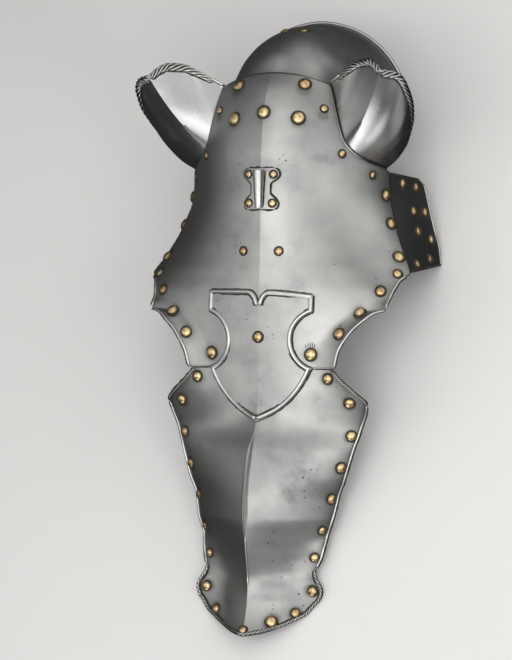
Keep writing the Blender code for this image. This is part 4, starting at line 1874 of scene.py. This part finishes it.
def worn_steel_group() -> bpy.types.NodeTree:
    """Builds the shared group of marks on steel: shades, stains, pits and scratches.

    Returns:
        The group, with a mask for each kind of mark and one height for bumps.
    """
    tree = bpy.data.node_groups.new("worn_steel", "ShaderNodeTree")
    sockets = tree.interface.new_socket
    sockets(name="Vector", in_out="INPUT", socket_type="NodeSocketVector")
    names = ("Shade", "Stain", "Pit", "Scratch", "Height")
    for name in names:
        sockets(name=name, in_out="OUTPUT", socket_type="NodeSocketFloat")
    nodes = Nodes(tree)
    place = nodes.add("NodeGroupInput").outputs["Vector"]
    shade = nodes.noise(place, 16, 4, 0.6)
    blotch = nodes.noise(place, 42, 5, 0.65)
    stain = nodes.times(nodes.ramp(shade, 0.5, 0.7), nodes.ramp(blotch, 0.44, 0.66))

    spots = nodes.add("TexVoronoi", {"Vector": place, "Scale": 150.0, "Randomness": 1.0}, feature="F1")
    size = nodes.noise(place, 95, 2)
    near = nodes.minus(spots.outputs["Distance"], nodes.times(size, 0.16))
    where = nodes.ramp(nodes.noise(place, 30, 3), 0.52, 0.64)
    pit = nodes.times(nodes.minus(1.0, nodes.ramp(near, -0.02, 0.09)), where)

    grain = nodes.add("Mapping", {"Vector": place, "Scale": (1.0, 0.05, 1.0)})
    fine = nodes.noise(grain.outputs[0], 900, 3, 0.7)
    turned = nodes.add("Mapping", {"Vector": place, "Rotation": (0, 0, 0.6), "Scale": (1.0, 0.03, 1.0)})
    cross = nodes.noise(turned.outputs[0], 420, 2, 0.6)
    rare = nodes.ramp(nodes.noise(place, 24, 2), 0.5, 0.66)
    scratch = nodes.times(nodes.ramp(cross, 0.6, 0.72), rare)

    height = nodes.plus(nodes.times(fine, 0.22), nodes.times(blotch, 0.35))
    height = nodes.minus(height, nodes.times(pit, 1.4), nodes.times(scratch, 0.1))
    nodes.add("NodeGroupOutput", dict(zip(names, (shade, stain, pit, scratch, height))))
    return tree


def new_material(name: str) -> tuple[Material, Nodes]:
    """Makes an empty material, and returns it and its nodes.

    Args:
        name: Its name.

    Returns:
        The material and its nodes.
    """
    material = bpy.data.materials.new(name)
    material.use_nodes = True
    material.node_tree.nodes.clear()
    return material, Nodes(material.node_tree)


def end_in_shader(nodes: Nodes, colour: Socket, roughness: object, bump: Socket | None = None) -> None:
    """Ends a material in its shader: of metal if it has a bump, and otherwise not.

    Args:
        nodes: The material's nodes.
        colour: Its colour.
        roughness: Its roughness, as a value or a socket.
        bump: Its normals.
    """
    inputs = {"Base Color": colour, "Roughness": roughness}
    if bump:
        inputs.update({"Normal": bump, "Metallic": 1.0})
    shader = nodes.add("BsdfPrincipled", inputs)
    nodes.add("OutputMaterial", {"Surface": shader.outputs[0]})


def scaled(colour: Colour, share: float) -> Colour:
    """A darker or lighter colour."""
    return tuple(min(1.0, share * value) for value in colour)


@dataclass(frozen=True)
class Palette:
    """Every finish of the armour."""

    plate: SteelFinish = SteelFinish("satin_steel", (0.45, 0.445, 0.43), (0.36, 0.362, 0.355), 0.42)
    ear: SteelFinish = SteelFinish(
        "ear_steel", (0.50, 0.50, 0.49), (0.40, 0.405, 0.405), 0.29, pits=0.5, stains=0.6, grain=0.12
    )
    # the side plates' steel: the same steel as the others, made darker as painted shade
    dark: SteelFinish = SteelFinish("dark_steel", (0.31, 0.31, 0.31), (0.19, 0.195, 0.20), 0.40)
    edge: SteelFinish = SteelFinish(
        "bright_edge", (0.64, 0.635, 0.62), (0.50, 0.50, 0.49), 0.30, pits=0.2, stains=0.4, grain=0.05
    )
    brass: BrassFinish = BrassFinish()

    def steel(self, finish: SteelFinish, group: bpy.types.NodeTree) -> Material:
        """The material of a steel finish.

        Args:
            finish: The finish.
            group: The group of marks on steel.

        Returns:
            The material.
        """
        material, nodes = new_material(finish.name)
        mark = nodes.add("Group", node_tree=group)
        nodes.feed(mark.inputs["Vector"], nodes.place())
        mark = mark.outputs
        colour = nodes.mix(nodes.ramp(mark["Shade"], 0.35, 0.68), finish.bright, finish.dull)
        for share, over in (
            (nodes.times(mark["Stain"], 0.42 * finish.stains), scaled(finish.dull, 0.55)),
            (nodes.times(mark["Pit"], 0.85 * finish.pits), RUST),
            (nodes.times(mark["Scratch"], finish.scratch), scaled(finish.bright, 1.25)),
            # darkening by the vertex attribute: grime, and painted shade in grooves and round rivets
            (nodes.times(nodes.dirt(), 0.92), GRIME_AND_SHADE),
        ):
            colour = nodes.mix(share, colour, over)
        rough = nodes.plus(
            nodes.times(mark["Shade"], 2 * finish.rough_spread),
            finish.roughness - finish.rough_spread,
            nodes.times(mark["Stain"], 0.12),
            nodes.times(mark["Pit"], 0.25),
        )
        bump = nodes.add("Bump", {"Height": mark["Height"], "Strength": finish.grain, "Distance": 0.0004})
        end_in_shader(nodes, colour, rough, bump.outputs[0])
        return material

    def brass_material(self) -> Material:
        """The rivets' material.

        Returns:
            The material.
        """
        finish = self.brass
        material, nodes = new_material(finish.name)
        place, dirt = nodes.place(), nodes.dirt()
        mottle = nodes.noise(place, 420, 3)
        age = nodes.plus(nodes.times(nodes.noise(place, 31, 1), 0.85), nodes.times(mottle, 0.3))
        colour = nodes.mix(nodes.ramp(age, 0.5, 0.8), finish.bright, finish.brown)
        # darkens the heads' flanks and feet: tarnish, and painted shade
        colour = nodes.mix(dirt, colour, finish.foot)
        rough = nodes.plus(nodes.times(mottle, 0.1), finish.roughness - 0.05, nodes.times(dirt, 0.2))
        bump = nodes.add("Bump", {"Height": mottle, "Strength": 0.1, "Distance": 0.0002})
        end_in_shader(nodes, colour, rough, bump.outputs[0])
        return material

    def dirt_material(self) -> Material:
        """Black polish and rust, and painted shade in corners and under edges.

        Returns:
            The material.
        """
        material, nodes = new_material("old_dirt")
        patch = nodes.ramp(nodes.noise(nodes.place(), 180, 3), 0.4, 0.7)
        end_in_shader(nodes, nodes.mix(patch, (0.02, 0.018, 0.015), (0.065, 0.05, 0.035)), 0.75)
        return material

    def floor_material(self) -> Material:
        """The plain pale floor.

        Returns:
            The material.
        """
        material, nodes = new_material("pale_floor")
        cloud = nodes.noise(nodes.place(), 3, 2)
        end_in_shader(nodes, nodes.mix(cloud, (0.84, 0.83, 0.81), (0.87, 0.86, 0.84)), 0.8)
        return material


# ---- studio ----


class Lamp(NamedTuple):
    """A soft light, by the way that it lies in from the armour in the horse's frame."""

    name: str
    across: float  # degrees from straight over the face towards the horse's left
    along: float  # degrees towards the poll
    power: float
    breadth: float = 0.9


@dataclass(frozen=True)
class Studio:
    """The floor, the lights and the camera."""

    lamps: tuple[Lamp, ...] = (
        Lamp("muzzle_end", -18, -65, 2.4, 0.7),
        Lamp("ear_band", -27, -62, 2.0, 0.5),
        Lamp("muzzle_left", 80, -55, 1.2),
        Lamp("nose", 12, -19, 4.6),
        Lamp("nose_spot", 45, -8, 2.0, 0.4),
        Lamp("under_left", 50, -30, 0.9),
        Lamp("right_far", -68, -2, 0.7),
        Lamp("right_side", -42, 0, 2.1),
        Lamp("over_right", -20, 0, 2.2),
        Lamp("over", 4, 3, 3.3, 0.7),
        Lamp("over_left", 40, 0, 1.0),
        Lamp("left_side", 60, 0, 2.0),
        Lamp("right_brow", -62, 22, 0.8),
        Lamp("brow", 16, 26, 2.9),
        Lamp("left_brow", 50, 22, 0.9),
        Lamp("left_ear", 80, 25, 2.4),
        Lamp("right_crown", -40, 50, 1.1),
        Lamp("crown", 0, 50, 2.2),
        Lamp("left_crown", 80, 50, 2.3),
        Lamp("left_poll", 80, 75, 1.5),
    )
    lamp_distance: float = 1.5
    world: float = 0.03  # strength of the room's own light
    view_turn: float = 22.0  # degrees that the camera stands to the horse's left
    view_roll: float = 0.833
    view_distance: float = 2600.0
    aim: tuple[float, float, float] = (0, -79.27, 15.33)  # the place that it looks at
    lens: float = 141.8
    sensor: float = 36.0

    def build(self, palette: Palette) -> None:
        """Makes everything that isn't the armour.

        Args:
            palette: Every finish.
        """
        bpy.context.scene.view_settings.view_transform = "Standard"
        self.build_floor(palette)
        self.build_lights()
        self.build_camera()

    def build_floor(self, palette: Palette) -> None:
        """A wide flat floor under the armour.

        Args:
            palette: Every finish.
        """
        build = bmesh.new()
        bmesh.ops.create_grid(build, x_segments=1, y_segments=1, size=6)
        mesh = bpy.data.meshes.new("floor")
        build.to_mesh(mesh)
        build.free()
        mesh.materials.append(palette.floor_material())
        floor = bpy.data.objects.new("floor", mesh)
        bpy.context.scene.collection.objects.link(floor)
        floor.visible_glossy = False

    def build_lights(self) -> None:
        """Soft boxes, and a dim even room."""
        world = bpy.data.worlds.new("room")
        bpy.context.scene.world = world
        world.use_nodes = True
        background = world.node_tree.nodes["Background"]
        background.inputs["Color"].default_value = (0.9, 0.95, 1.0, 1)
        background.inputs["Strength"].default_value = self.world
        for lamp in self.lamps:
            light = bpy.data.lights.new(lamp.name, "AREA")
            light.shape = "SQUARE"
            light.size = lamp.breadth
            light.energy = lamp.power
            across, along = math.radians(lamp.across), math.radians(lamp.along)
            flat = math.cos(along)
            way = Vector((math.sin(across) * flat, math.sin(along), math.cos(across) * flat))
            way = (LIE.to_3x3() @ way).normalized()
            lit = bpy.data.objects.new(lamp.name, light)
            lit.location = LIE @ Vector(self.aim) + way * self.lamp_distance
            lit.rotation_euler = way.to_track_quat("Z", "Y").to_euler()
            lit.visible_camera = False
            bpy.context.scene.collection.objects.link(lit)

    def build_camera(self) -> None:
        """The camera, over the face and to its left side."""
        turn, roll = math.radians(self.view_turn), math.radians(self.view_roll)
        back = Vector((math.sin(turn), 0, math.cos(turn)))
        level, up = Vector((math.cos(turn), 0, -math.sin(turn))), Vector((0, 1, 0))
        right = math.cos(roll) * level + math.sin(roll) * up
        up = math.cos(roll) * up - math.sin(roll) * level
        lie = LIE.to_3x3().normalized()
        axes = Matrix([lie @ right, lie @ up, lie @ back]).transposed()
        lens = bpy.data.cameras.new("camera")
        lens.sensor_width = self.sensor
        lens.lens = self.lens
        camera = bpy.data.objects.new("camera", lens)
        place = LIE @ (Vector(self.aim) + back * self.view_distance)
        camera.matrix_world = Matrix.Translation(place) @ axes.to_4x4()
        bpy.context.scene.collection.objects.link(camera)
        bpy.context.scene.camera = camera


# ---- the armour ----

CHEEK_RIVETS = (
    Rivet("side_1", 0.52, 0.235, 5.6, 0),
    Rivet("side_2", 0.8, 0.235, 5.6, 0),
    Rivet("side_3", 0.665, 0.455, 5.6, 0),
    Rivet("side_4", 0.9, 0.455, 5.4, 0),
    Rivet("side_5", 0.665, 0.625, 5.6, 0),
    Rivet("side_6", 0.885, 0.695, 5.4, 0),
    Rivet("side_7", 0.46, 0.93, 5.4, 0),
    Rivet("side_8", 0.765, 0.9, 5.6, 0),
)
RAISED_RIVETS = (
    Rivet("shield", -86, 0, 5, LAYER, paired=False),
    Rivet("holder_upper", 77, 13, 3.6, LAYER),
    Rivet("holder_lower", 48, 12.3, 3.6, LAYER),
)


def main() -> None:
    """Builds the armour, its finishes and the studio."""
    logging.basicConfig(level=logging.INFO, format="%(message)s")
    palette = Palette()
    group = worn_steel_group()
    kinds = (palette.plate, palette.ear, palette.dark, palette.edge)
    plate, ear, dark, edge = (palette.steel(finish, group) for finish in kinds)
    brass, dirt = palette.brass_material(), palette.dirt_material()
    finishes = Finishes(plate, edge, dirt)

    FACE.build(plate)
    NOSE.build(plate)
    poll, sides, ears = PollPlate(), SidePlates(), EarGuards()
    poll.build(finishes)
    for side in Side:
        # the side plates in the darker steel: painted shade
        sides.build(side, finishes._replace(sheet=dark))
        ears.build(side, finishes._replace(sheet=ear))
    Escutcheon().build(finishes)
    PlumeHolder().build(finishes)
    Borders().build(finishes)
    Pits().build(dirt)

    Rivets(
        (
            RivetSet(FACE.surface, FACE_RIVETS),
            RivetSet(NOSE.surface, NOSE_RIVETS),
            RivetSet(lambda y, girth: FORM.at(y, girth, LAYER), RAISED_RIVETS),
            RivetSet(FACE.surface, (Rivet("brow_low", 0, 19.5, 4, 0),), in_cad=False),
            RivetSet(NOSE.surface, (Rivet("muzzle_tip", -377, 0, 3.9, 0, paired=False),), in_cad=False),
            RivetSet(sides.half, CHEEK_RIVETS, in_cad=False, by_share=True),
            RivetSet(poll.half, (Rivet("crown", 0.1, 0.63, 5, 0),), in_cad=False, by_share=True),
        )
    ).build(brass, dirt)
    Studio().build(palette)


if __name__ == "__main__":
    main()
